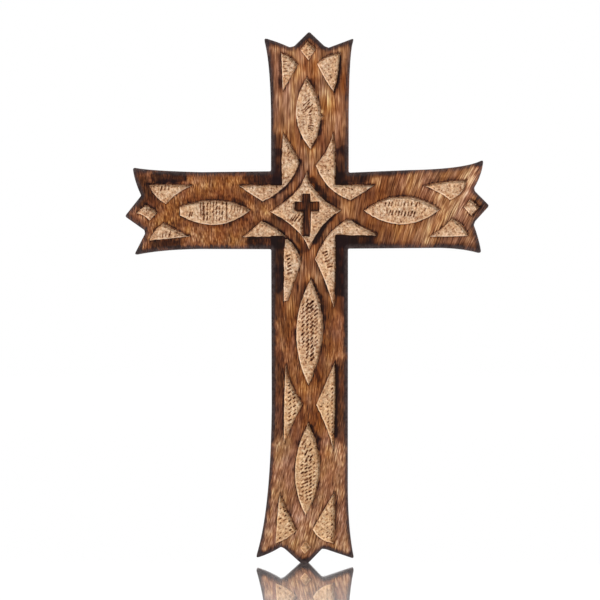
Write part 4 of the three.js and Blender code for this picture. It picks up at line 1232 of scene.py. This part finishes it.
def stained_group():
    """The tone of the raised wood: darker at edges and where scorched, with painted shade at the edges
    above walls facing away from the key light, and paler in patches.
    """
    wires, given, out = tree_with("stained_tone", "ShaderNodeTree", [
        ("Rim", FLOAT, 9.0), ("Lip", FLOAT, 3.0), ("Facing", FLOAT, 0.0), ("Scorch", FLOAT, 0.0),
        ("Thin", FLOAT, 0.0), ("Golden", FLOAT, 0.0), ("Streak", FLOAT, 0.5), ("Pore", FLOAT, 0.0),
        ("Band", FLOAT, 0.5), ("Blotch", FLOAT, 0.5)], [("Tone", FLOAT)])
    patchy = wires.straight(given["Blotch"], 0.0, 1.0, 0.75, 1.25)
    burnt = wires.math("MULTIPLY", given["Scorch"], patchy)
    loose = wires.straight(given["Streak"], 0.0, 1.0, -0.22, 0.22)
    loose = wires.math("MULTIPLY", loose, wires.straight(burnt, 0.1, 0.45, 1.0, 0.3))
    tone = wires.math("ADD", loose, STAIN_TONE)
    tone = wires.math("MULTIPLY_ADD", given["Golden"], -GOLDEN_DEPTH, tone)
    tone = wires.math("ADD", tone, wires.straight(given["Band"], 0.3, 0.7, -0.08, 0.08))
    tone = wires.math("ADD", tone, wires.straight(given["Blotch"], 0.0, 1.0, -0.05, 0.05))
    ragged = wires.math("MULTIPLY_ADD", loose, 1.6, given["Rim"])
    charred = wires.smooth(ragged, 3.0, 0.3, 0.0, 0.38)
    uneven = wires.straight(given["Band"], 0.35, 0.65, 1.2, 0.6)
    tone = wires.math("SUBTRACT", tone, wires.math("MULTIPLY", charred, uneven))
    ragged = wires.math("MULTIPLY_ADD", loose, 1.2, given["Lip"])
    # The dark line along the recess edges is burn; it is made darker above walls that face away from the
    # key light, as painted shade
    under = wires.straight(given["Facing"], -0.5, 0.7, 0.8, 1.0)
    edge = wires.math("ADD", wires.smooth(ragged, 1.8, 0.3, 0.0, 0.1),
                      wires.smooth(ragged, 0.75, 0.25, 0.0, 0.22))
    tone = wires.math("SUBTRACT", tone, wires.math("MULTIPLY", edge, under))
    tone = wires.math("SUBTRACT", tone, burnt)
    streaked = wires.straight(given["Streak"], 0.1, 0.9, 0.4, 1.2)
    tone = wires.math("MULTIPLY_ADD", given["Thin"], streaked, tone)
    tone = wires.math("MULTIPLY_ADD", given["Pore"], -0.2, tone)
    hand_over(wires, out, Tone=tone)
    return wires.tree


def ground_group():
    """The tone of the ground: darker in strokes and pits, with painted shade on the walls facing away from
    the key light and a painted highlight on those facing it.
    """
    wires, given, out = tree_with("ground_tone", "ShaderNodeTree", [
        ("Place", VECTOR, None), ("Lip", FLOAT, -3.0), ("Facing", FLOAT, 0.0),
        ("Mark", FLOAT, 0.0), ("Pit", FLOAT, 0.0), ("Calm", FLOAT, 0.0),
        ("Scorch", FLOAT, 0.0), ("Streak", FLOAT, 0.5)], [("Tone", FLOAT), ("Fine", FLOAT)])
    fine = wires.noise(given["Place"], 620.0, 2.0, 0.6)
    patch = wires.noise(given["Place"], 140.0, 2.0)
    dots = wires.add("ShaderNodeTexVoronoi", {"Vector": given["Place"], "Scale": 740.0})
    chance = wires.apart(dots.outputs["Color"])[0]
    speck = wires.smooth(dots.outputs["Distance"], 0.48, 0.2)
    speck = wires.math("MULTIPLY", speck, wires.smooth(chance, 0.15, 0.85, 0.0, 0.34))
    tone = wires.straight(fine, 0.3, 0.7, 0.42, 1.0)
    busy = wires.math("SUBTRACT", 1.0, given["Calm"])
    tone = wires.math("SUBTRACT", tone, wires.math("MULTIPLY", speck, busy))
    # A painted highlight: the ground is lifted a little between the gouge marks
    tone = wires.math("MULTIPLY_ADD", given["Calm"], 0.03, tone)
    tone = wires.math("ADD", tone, wires.straight(patch, 0.3, 0.7, -0.1, 0.1))
    tone = wires.math("ADD", tone, wires.straight(given["Streak"], 0.0, 1.0, -0.05, 0.05))
    tone = wires.math("MULTIPLY_ADD", given["Mark"], -0.52, tone)
    tone = wires.math("MULTIPLY_ADD", given["Pit"], -0.35, tone)
    wander = wires.math("MULTIPLY_ADD", fine, 0.5, given["Lip"])
    wall = wires.smooth(wander, -0.6, -0.15)
    # Painted light and shade on the walls: lighter where a wall faces the key light, darker where it faces
    # away
    wall_light_and_shade = wires.straight(given["Facing"], -0.5, 0.8, -0.4, 0.36)
    tone = wires.math("SUBTRACT", tone, wires.math("MULTIPLY", wall, wall_light_and_shade))
    # Scorch darkens the walls and the ground at their foot: partly torch burn, partly painted shade in the
    # recess
    up_wall = wires.smooth(wires.math("MULTIPLY", given["Lip"], -1.0), 0.7, 0.3)
    burnt = wires.math("MULTIPLY", wires.math("MULTIPLY", given["Scorch"], up_wall), 2.6)
    tone = wires.math("SUBTRACT", tone, burnt)
    hand_over(wires, out, Tone=tone, Fine=fine)
    return wires.tree


def plain_material(name):
    """A new material with its wiring, its Principled shader and its output."""
    material = bpy.data.materials.new(name)
    material.use_nodes = True
    nodes = material.node_tree.nodes
    return material, Wiring(material.node_tree), nodes["Principled BSDF"], nodes["Material Output"]


def group_node(wires, tree, **inputs):
    node = wires.add("ShaderNodeGroup", node_tree=tree)
    hand_over(wires, node, **inputs)
    return node.outputs


def attribute(wires, name, output="Fac"):
    return wires.add("ShaderNodeAttribute", attribute_name=name).outputs[output]


def bumps(wires, height, strength, distance):
    """A surface with bumps of this height in millimetres."""
    return wires.add("ShaderNodeBump", {"Strength": strength, "Distance": distance * MM,
                                        "Height": height}).outputs[0]


def tinted(wires, base, place, green, blue, rough=2.0):
    """The colour with its green and blue moved up and down together in patches."""
    shift = wires.straight(wires.noise(place, 1.0, rough), 0.35, 0.65, -1.0, 1.0)
    greener = wires.math("MULTIPLY_ADD", shift, green, 1.0)
    bluer = wires.math("MULTIPLY_ADD", shift, blue, 1.0)
    return wires.vector_math("MULTIPLY", base, wires.joined(1.0, greener, bluer))


def carved_wood_material(grain_tree):
    material, wires, shader, _ = plain_material("stained_mango_wood")
    along = attribute(wires, "grain", "Vector")
    grain = group_node(wires, grain_tree, Grain=along)
    rim = attribute(wires, "rim_gap")
    lip = attribute(wires, "lip_gap")
    facing = attribute(wires, "wall_facing")
    scorch = attribute(wires, "scorch")
    deeper = attribute(wires, "golden")
    stained = group_node(wires, stained_group(), Rim=rim, Lip=lip, Facing=facing, Scorch=scorch,
                         Golden=deeper, Thin=attribute(wires, "lighter_patches"),
                         Streak=grain["Streak"], Pore=grain["Pore"], Band=grain["Band"],
                         Blotch=grain["Blotch"])["Tone"]
    place = wires.place()
    ground = group_node(wires, ground_group(), Place=place, Lip=lip, Facing=facing,
                        Mark=attribute(wires, "mark"), Pit=attribute(wires, "pit"),
                        Calm=attribute(wires, "calm"), Scorch=scorch, Streak=grain["Streak"])
    brown = wires.ramp(stained, STAIN)
    golden = wires.ramp(stained, GOLDEN_STAIN)
    drift = wires.straight(grain["Warmth"], 0.35, 0.65, -0.3, 0.3)
    share = wires.math("ADD", deeper, drift)
    raised_colour = wires.blend(wires.straight(share, 0.0, 1.0), brown, golden)
    for size, green, blue in RAISED_TINTS:
        spread = wires.vector_math("MULTIPLY", along, (1 / size, 1 / size, 0.45 / size))
        raised_colour = tinted(wires, raised_colour, spread, green, blue)
    # Painted sheen: a pale grey blended in along the outline's rounded edge
    rim_sheen = wires.straight(rim, SHEEN_WIDTH, 0.0, 0.0, SHEEN_ON_RIM)
    rim_sheen = wires.math("MULTIPLY", rim_sheen, wires.straight(ground["Fine"], 0.35, 0.65, 0.5, 1.5))
    raised_colour = wires.blend(rim_sheen, raised_colour, colour(EDGE_SHEEN))
    ground_colour = wires.ramp(ground["Tone"], GROUND)
    for size, green, blue in GROUND_TINTS:
        spread = wires.vector_math("MULTIPLY", place, (1 / (size * MM),) * 3)
        ground_colour = tinted(wires, ground_colour, spread, green, blue)
    yellower = wires.vector_math("MULTIPLY", ground_colour, YELLOWER)
    ground_colour = wires.blend(attribute(wires, "yellowed"), ground_colour, yellower)
    wander = wires.straight(ground["Fine"], 0.3, 0.7, -0.06, 0.06)
    sunk = wires.smooth(wires.math("ADD", lip, wander), 0.07, -0.07)
    shader_colour = wires.blend(sunk, raised_colour, ground_colour)
    shader.inputs["Specular IOR Level"].default_value = 0.05
    raised_height = wires.math("MULTIPLY_ADD", grain["Pore"], -0.6, grain["Streak"])
    height = wires.add("ShaderNodeMix", {0: sunk, 2: raised_height, 3: ground["Fine"]}).outputs[0]
    hand_over(wires, shader, Base_Color=shader_colour, Normal=bumps(wires, height, 0.45, 0.18),
              Roughness=wires.straight(sunk, 0.0, 1.0, 0.5, 0.75))
    return material


def smoothed(mesh, angle=42):
    mesh.shade_smooth()
    mesh.set_sharp_from_angle(angle=math.radians(angle))


grain_tree = grain_group()
carved_wood = carved_wood_material(grain_tree)
strokes = mark_rows_object()
run_tree(strokes, gouge_tree(), {"Scatter": MARK_SCATTER, "Seed": 4, "Material": carved_wood})
press = press_tree()
for board in boards:
    run_tree(board, press, {
        "Strokes": strokes, "Half width": MARK_HALF_WIDTH, "Depth": MARK_DEPTH,
        "Pit spacing": PIT_SPACING, "Pit radius": PIT_RADIUS, "Pit depth": PIT_DEPTH,
        "Material": carved_wood})
    smoothed(board.data)
bpy.data.objects.remove(strokes)


# The dowels' beech, the zinc on the steel, and the darker colour it turns below the cross's back, which
# starts at one height and is full at the other
BEECH = [(0.1, "8a6238"), (0.45, "c39a66"), (0.7, "dcbb8c")]
STEEL = [(0.3, "898781"), (0.6, "a9a8a3")]
DARK_STEEL = "2e2925"
PLAIN_ABOVE = -0.15
DARKEST_BELOW = -0.55


def dowel_material():
    material, wires, shader, _ = plain_material("plain_beech")
    place = wires.place()
    lengthwise = wires.vector_math("MULTIPLY", place, (90, 900, 900))
    streak = wires.noise(lengthwise, 1.0, 3.0, 0.6)
    fleck = wires.noise(wires.vector_math("MULTIPLY", place, (400, 2600, 2600)), 1.0, 2.0)
    tone = wires.math("SUBTRACT", streak, wires.smooth(fleck, 0.4, 0.28, 0.0, 0.25))
    shader.inputs["Roughness"].default_value = 0.62
    hand_over(wires, shader, Base_Color=wires.ramp(tone, BEECH),
              Normal=bumps(wires, streak, 0.3, 0.1))
    return material


def steel_material():
    material, wires, shader, _ = plain_material("zinc_plated_steel")
    place = wires.place()
    cloud = wires.noise(place, 260.0, 3.0)
    fine = wires.noise(place, 2400.0, 2.0)
    # The steel turns darker below the cross's back
    undarkened = wires.smooth(wires.apart(place)[1], DARKEST_BELOW * MM, PLAIN_ABOVE * MM)
    darkened = wires.blend(undarkened, colour(DARK_STEEL), wires.ramp(cloud, STEEL))
    shader.inputs["Metallic"].default_value = 1.0
    hand_over(wires, shader, Base_Color=darkened, Normal=bumps(wires, fine, 0.2, 0.05),
              Roughness=wires.straight(cloud, 0.3, 0.7, 0.3, 0.46))
    return material


beech = dowel_material()
steel = steel_material()
for name in DOWELS:
    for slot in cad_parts[name].material_slots:
        slot.material = beech


def circle(x, z, radius, count, start=0.0, turn=2 * math.pi):
    angles = start + turn * np.arange(count) / count
    return np.column_stack([x + radius * np.cos(angles), z + radius * np.sin(angles)])


def round_ended(bottom, top, radius, count=40):
    upper = circle(0, top, radius, count, 0, math.pi)
    lower = circle(0, bottom, radius, count, math.pi, math.pi)
    rise = np.linspace(bottom, top, count)
    right = np.column_stack([np.full(count, radius), rise])
    left = np.column_stack([np.full(count, -radius), rise[::-1]])
    return np.vstack([upper, left[:-1], lower, right[:-1]])


def keyhole(entry):
    """The keyhole's outline: a round entry with a narrow slot that runs up from it."""
    half = math.asin(SLOT_RADIUS / ENTRY_RADIUS)
    round_part = circle(0, entry, ENTRY_RADIUS, 48, math.pi / 2 + half, 2 * math.pi - 2 * half)
    join = entry + ENTRY_RADIUS * math.cos(half)
    top = circle(0, entry + SLOT_TRAVEL, SLOT_RADIUS, 24, 0, math.pi)
    sides = np.linspace(join, entry + SLOT_TRAVEL, 8)[:-1]
    right = np.column_stack([np.full(len(sides), SLOT_RADIUS), sides])
    left = np.column_stack([np.full(len(sides), -SLOT_RADIUS), sides[::-1]])
    return np.vstack([round_part, right, top, (-SLOT_RADIUS, entry + SLOT_TRAVEL), left])


# The screws' heads, and the plate's rounded edges and pressed rim with their rows of points
HEAD_RADIUS = 2.8
HEAD_HEIGHT = 1.3
PLATE_EDGE = 0.25
PRESSED_RIM = 0.2
RIM_MIDDLE = 0.7
RIM_HALF_WIDTH = 0.9
PLATE_PITCH = 1
PLATE_FROM_EDGE = 1.9
PLATE_CLEAR = 0.04
PLATE_ROWS = (0.06, 0.14, 0.25, 0.6)
KEY_ROWS = (0.06, 0.14, 0.25, 0.5, 0.9, 1.3, 1.7)
SINK_ROWS = (-0.6, 0, 0.2)
SCREW_TURNS = (0.3, 1.1)


def plate_layer(outer, key, spots):
    """The plate laid flat: its points and triangles, open at the keyhole and the screw holes."""
    loops = [outer, key, *(circle(0, z, SCREW_RADIUS + FIT, 40) for z in spots)]
    rows = [offset_rows([outer], PLATE_ROWS, 1), offset_rows([key], KEY_ROWS, -1),
            *(circle(0, z, HEAD_RADIUS + FIT + more, 48) for z in spots for more in SINK_ROWS)]
    grid = hex_grid(outer.min(axis=0), outer.max(axis=0), PLATE_PITCH)
    near = np.vstack([*rows, grid[gap_to(grid, loops, 3) > PLATE_FROM_EDGE]])
    near = near[inside(near, loops) & (gap_to(near, loops, 1) > PLATE_CLEAR)]
    faces, start = [], 0
    for loop in loops:
        faces.append(list(range(start, start + len(loop))))
        start += len(loop)
    made = triangles_through(np.vstack([*loops, near]), [], faces)
    flat, triangles = np.array(made[0]), np.array(made[2])
    return flat, triangles[inside(flat[triangles].mean(axis=1), loops)]


def plate_relief(flat, outer, key, spots):
    """How far the plate's edge drops, its rim stands up and its screw holes sink, at each point."""
    drop = rounded(gap_to(flat, [outer, key], 2), PLATE_EDGE)
    across = np.clip((gap_to(flat, [key], 3) - RIM_MIDDLE) / RIM_HALF_WIDTH, -1, 1)
    rim = PRESSED_RIM * np.cos(across * math.pi / 2)
    sink = np.zeros(len(flat))
    for z in spots:
        away = np.linalg.norm(flat - (0, z), axis=1)
        share = (HEAD_RADIUS + FIT - away) / (HEAD_RADIUS - SCREW_RADIUS)
        sink = np.maximum(sink, np.clip(share, 0, 1) * HEAD_HEIGHT)
    return drop, rim, sink


def hanger_plate():
    """The keyhole plate: pressed up round the keyhole, its screw holes sunk for the heads."""
    middle, size = middle_and_size("keyhole_hanger")
    radius, reach = size.x / 2, size.z / 2 - size.x / 2
    back_face, front_face = middle.y + size.y / 2, middle.y - size.y / 2
    outer = round_ended(middle.z - reach, middle.z + reach, radius)
    key = keyhole(middle.z - ENTRY_DROP)
    spots = [middle_and_size(node)[0].z for node in SCREWS]
    flat, triangles = plate_layer(outer, key, spots)
    drop, rim, sink = plate_relief(flat, outer, key, spots)
    shell = bmesh.new()
    top = [shell.verts.new((x * MM, (back_face - down + up - under) * MM, z * MM))
           for (x, z), down, up, under in zip(flat, drop, rim, sink)]
    bottom = [shell.verts.new((x * MM, (front_face + down / 2) * MM, z * MM))
              for (x, z), down in zip(flat, drop)]
    for a, b, c in triangles.tolist():
        shell.faces.new([top[a], top[c], top[b]])
        shell.faces.new([bottom[a], bottom[b], bottom[c]])
    for a, b in open_edges(triangles):
        shell.faces.new([top[a], top[b], bottom[b], bottom[a]])
    bmesh.ops.recalc_face_normals(shell, faces=shell.faces)
    mesh = mesh_of(shell, "hanger_plate")
    mesh.materials.append(steel)
    smoothed(mesh, 35)
    return placed_object("hanger_plate", mesh)


def screw_tree():
    """A countersunk wood screw that stands head up along +Y, its thread wound round the shank."""
    wires, given, out = tree_with("wood_screw", "GeometryNodeTree", [
        ("Geometry", GEOMETRY, None), ("Length", FLOAT, 10.0), ("Shank radius", FLOAT, 1.5),
        ("Head radius", FLOAT, 2.8), ("Head height", FLOAT, 1.3), ("Point length", FLOAT, 2.5),
        ("Thread pitch", FLOAT, 1.2), ("Thread depth", FLOAT, 0.4), ("Drive width", FLOAT, 0.7),
        ("Drive reach", FLOAT, 3.0), ("Drive depth", FLOAT, 0.9), ("Drive turn", FLOAT, 0.0),
        ("Material", MATERIAL, None)], [("Geometry", GEOMETRY)])
    body = wires.add("GeometryNodeMeshCylinder", {
        "Vertices": 48, "Side Segments": 120, "Radius": 1.0, "Depth": 1.0},
        fill_type="TRIANGLE_FAN").outputs[0]
    place = wires.add("GeometryNodeInputPosition").outputs[0]
    x, y, z = wires.apart(place)
    along = wires.math("MULTIPLY", wires.math("SUBTRACT", 0.5, z), given["Length"])
    head_share = wires.math("DIVIDE", along, given["Head height"])
    head = wires.straight(head_share, 0.12, 1.0, 1.0, 0.0)
    widen = wires.math("SUBTRACT", given["Head radius"], given["Shank radius"])
    point_start = wires.math("SUBTRACT", given["Length"], given["Point length"])
    point = wires.straight(along, point_start, given["Length"], 1.0, 0.02)
    around = wires.math("DIVIDE", wires.math("ARCTAN2", y, x), 2 * math.pi)
    turns = wires.math("ADD", wires.math("DIVIDE", along, given["Thread pitch"]), around)
    groove = wires.math("PINGPONG", turns, 0.5)
    groove = wires.smooth(groove, 0.5, 0.12)
    start = wires.math("ADD", given["Head height"], 1.2)
    threaded = wires.smooth(along, given["Head height"], start)
    cut = wires.math("MULTIPLY", wires.math("MULTIPLY", groove, given["Thread depth"]), threaded)
    radius = wires.math("SUBTRACT", given["Shank radius"], cut)
    radius = wires.math("MULTIPLY", radius, point)
    radius = wires.math("MULTIPLY_ADD", head, widen, radius)
    radius = wires.math("MULTIPLY", radius, MM)
    shaped = wires.joined(wires.math("MULTIPLY", x, radius), wires.math("MULTIPLY", along, -MM),
                          wires.math("MULTIPLY", wires.math("MULTIPLY", y, radius), -1.0))
    turned = wires.add("GeometryNodeSetPosition", {0: body, "Position": shaped}).outputs[0]
    reach = wires.math("MULTIPLY", given["Drive reach"], MM)
    width = wires.math("MULTIPLY", given["Drive width"], MM)
    depth = wires.math("MULTIPLY", given["Drive depth"], 2 * MM)
    bars = []
    for quarter in (0, math.pi / 2):
        bar = wires.add("GeometryNodeMeshCube", {"Size": wires.joined(reach, depth, width)})
        spin = wires.joined(0.0, wires.math("ADD", given["Drive turn"], quarter))
        bars.append(wires.add("GeometryNodeTransform", {0: bar.outputs[0],
                                                        "Rotation": spin}).outputs[0])
    driven = turned
    for bar in bars:
        cutting = wires.add("GeometryNodeMeshBoolean", operation="DIFFERENCE", solver="EXACT")
        wires.tree.links.new(driven, cutting.inputs[0])
        wires.tree.links.new(bar, cutting.inputs[1])
        driven = cutting.outputs[0]
    screw = wires.add("GeometryNodeInstanceOnPoints", {0: given["Geometry"],
                                                       "Instance": driven}).outputs[0]
    hand_over(wires, out, Geometry=wires.dressed(screw, given["Material"]))
    return wires.tree


def screw_at(name, node, tree, drive_turn):
    low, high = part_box(node)
    mesh = bpy.data.meshes.new(name)
    mesh.from_pydata([((low.x + high.x) / 2, high.y, (low.z + high.z) / 2)], [], [])
    screw = placed_object(name, mesh)
    run_tree(screw, tree, {
        "Length": (high.y - low.y) / MM, "Shank radius": SCREW_RADIUS, "Head radius": HEAD_RADIUS,
        "Head height": HEAD_HEIGHT, "Point length": SCREW_POINT, "Drive turn": drive_turn,
        "Material": steel})
    smoothed(screw.data, 35)
    return screw


plate = hanger_plate()
wood_screw = screw_tree()
screws = [screw_at(f"countersunk_{node}", node, wood_screw, turn)
          for node, turn in zip(SCREWS, SCREW_TURNS)]

for board, node in zip(boards, BOARDS):
    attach(board, "root")
    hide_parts(node)
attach(plate, "root")
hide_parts("keyhole_hanger")
for screw, node in zip(screws, SCREWS):
    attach(screw, "root")
    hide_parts(node)


# The photograph's frame: what a pixel measures, and the middle of the picture on the cross
PIXEL = 0.5722
PICTURE = 600
PICTURE_MIDDLE = (-5.6, -51.4)
CAMERA_DISTANCE = 2500
SENSOR = 36


def set_camera():
    data = bpy.data.cameras.new("camera")
    camera = placed_object("camera", data)
    data.sensor_width = SENSOR
    data.lens = SENSOR * CAMERA_DISTANCE / (PIXEL * PICTURE)
    x, z = PICTURE_MIDDLE
    camera.location = (x * MM, (FRONT - CAMERA_DISTANCE) * MM, z * MM)
    camera.rotation_euler = (math.pi / 2, 0, 0)
    data.clip_start, data.clip_end = 0.1, 100
    bpy.context.scene.camera = camera


def seen_directly(wires):
    """1 for what the camera sees itself, in a shine or through glass, and else 0."""
    path = wires.add("ShaderNodeLightPath").outputs
    seen = wires.math("MAXIMUM", path["Is Camera Ray"], path["Is Glossy Ray"])
    return wires.math("MAXIMUM", seen, path["Is Transmission Ray"])


# The white surround and the floor that mirrors. The lamps are given by name, place, size and
# power; they and the floor are in metres.
WORLD_LIGHT = 0.12
FLOOR_SHINE = (0.86, 1.0)
FLOOR_GLOW = 0.92
FLOOR_HALF = 6
LAMPS = [("key", (2.0, -2.7, 2.3), 0.6, 133), ("fill", (-2.6, -2.8, 0.5), 1.8, 14),
         ("rear", (-1.2, 2.2, 1.4), 1.2, 30)]
LAMPS_AIM = (0, 0, -0.05)


def set_world():
    world = bpy.data.worlds.new("studio")
    bpy.context.scene.world = world
    world.use_nodes = True
    wires = Wiring(world.node_tree)
    background = world.node_tree.nodes["Background"]
    background.inputs["Color"].default_value = (1, 1, 1, 1)
    strength = wires.straight(seen_directly(wires), 0.0, 1.0, WORLD_LIGHT, 1.0)
    wires.tree.links.new(strength, background.inputs["Strength"])


def floor_material():
    material, wires, shader, output = plain_material("glossy_floor")
    shader.inputs["Base Color"].default_value = (0.8, 0.8, 0.8, 1)
    shader.inputs["Roughness"].default_value = 0.6
    glow = wires.math("MULTIPLY", seen_directly(wires), FLOOR_GLOW)
    white = wires.add("ShaderNodeEmission", {"Color": (1, 1, 1, 1), "Strength": glow}).outputs[0]
    lit = wires.add("ShaderNodeAddShader", {0: shader.outputs[0], 1: white}).outputs[0]
    mirror = wires.add("ShaderNodeBsdfGlossy", {"Color": (1, 1, 1, 1), "Roughness": 0.03})
    low_view = wires.add("ShaderNodeLayerWeight", {"Blend": 0.5}).outputs["Facing"]
    low_view = wires.straight(low_view, 0.5, 0.93, 0.25, 1.0)
    place = wires.place()
    ahead = wires.apart(place)[1]
    shine = wires.math("MULTIPLY", wires.straight(ahead, -0.33, 0.0, *FLOOR_SHINE), low_view)
    polished = wires.add("ShaderNodeMixShader", {0: shine, 1: lit, 2: mirror.outputs[0]})
    wires.tree.links.new(polished.outputs[0], output.inputs["Surface"])
    return material


def set_floor():
    low = cad_box[0].z - 0.02 * MM
    mesh = bpy.data.meshes.new("floor")
    corners = [(-1, -1), (1, -1), (1, 1), (-1, 1)]
    mesh.from_pydata([(x * FLOOR_HALF, y * FLOOR_HALF, low) for x, y in corners], [],
                     [(0, 1, 2, 3)])
    mesh.materials.append(floor_material())
    placed_object("floor", mesh)


def lamp(name, place, size, power):
    data = bpy.data.lights.new(name, "AREA")
    data.size = size
    data.energy = power
    made = placed_object(name, data)
    made.location = place
    aim = Vector(LAMPS_AIM) - Vector(place)
    made.rotation_euler = aim.to_track_quat("-Z", "Y").to_euler()


set_camera()
set_world()
set_floor()
for setting in LAMPS:
    lamp(*setting)

bpy.context.scene.view_settings.view_transform = "Standard"
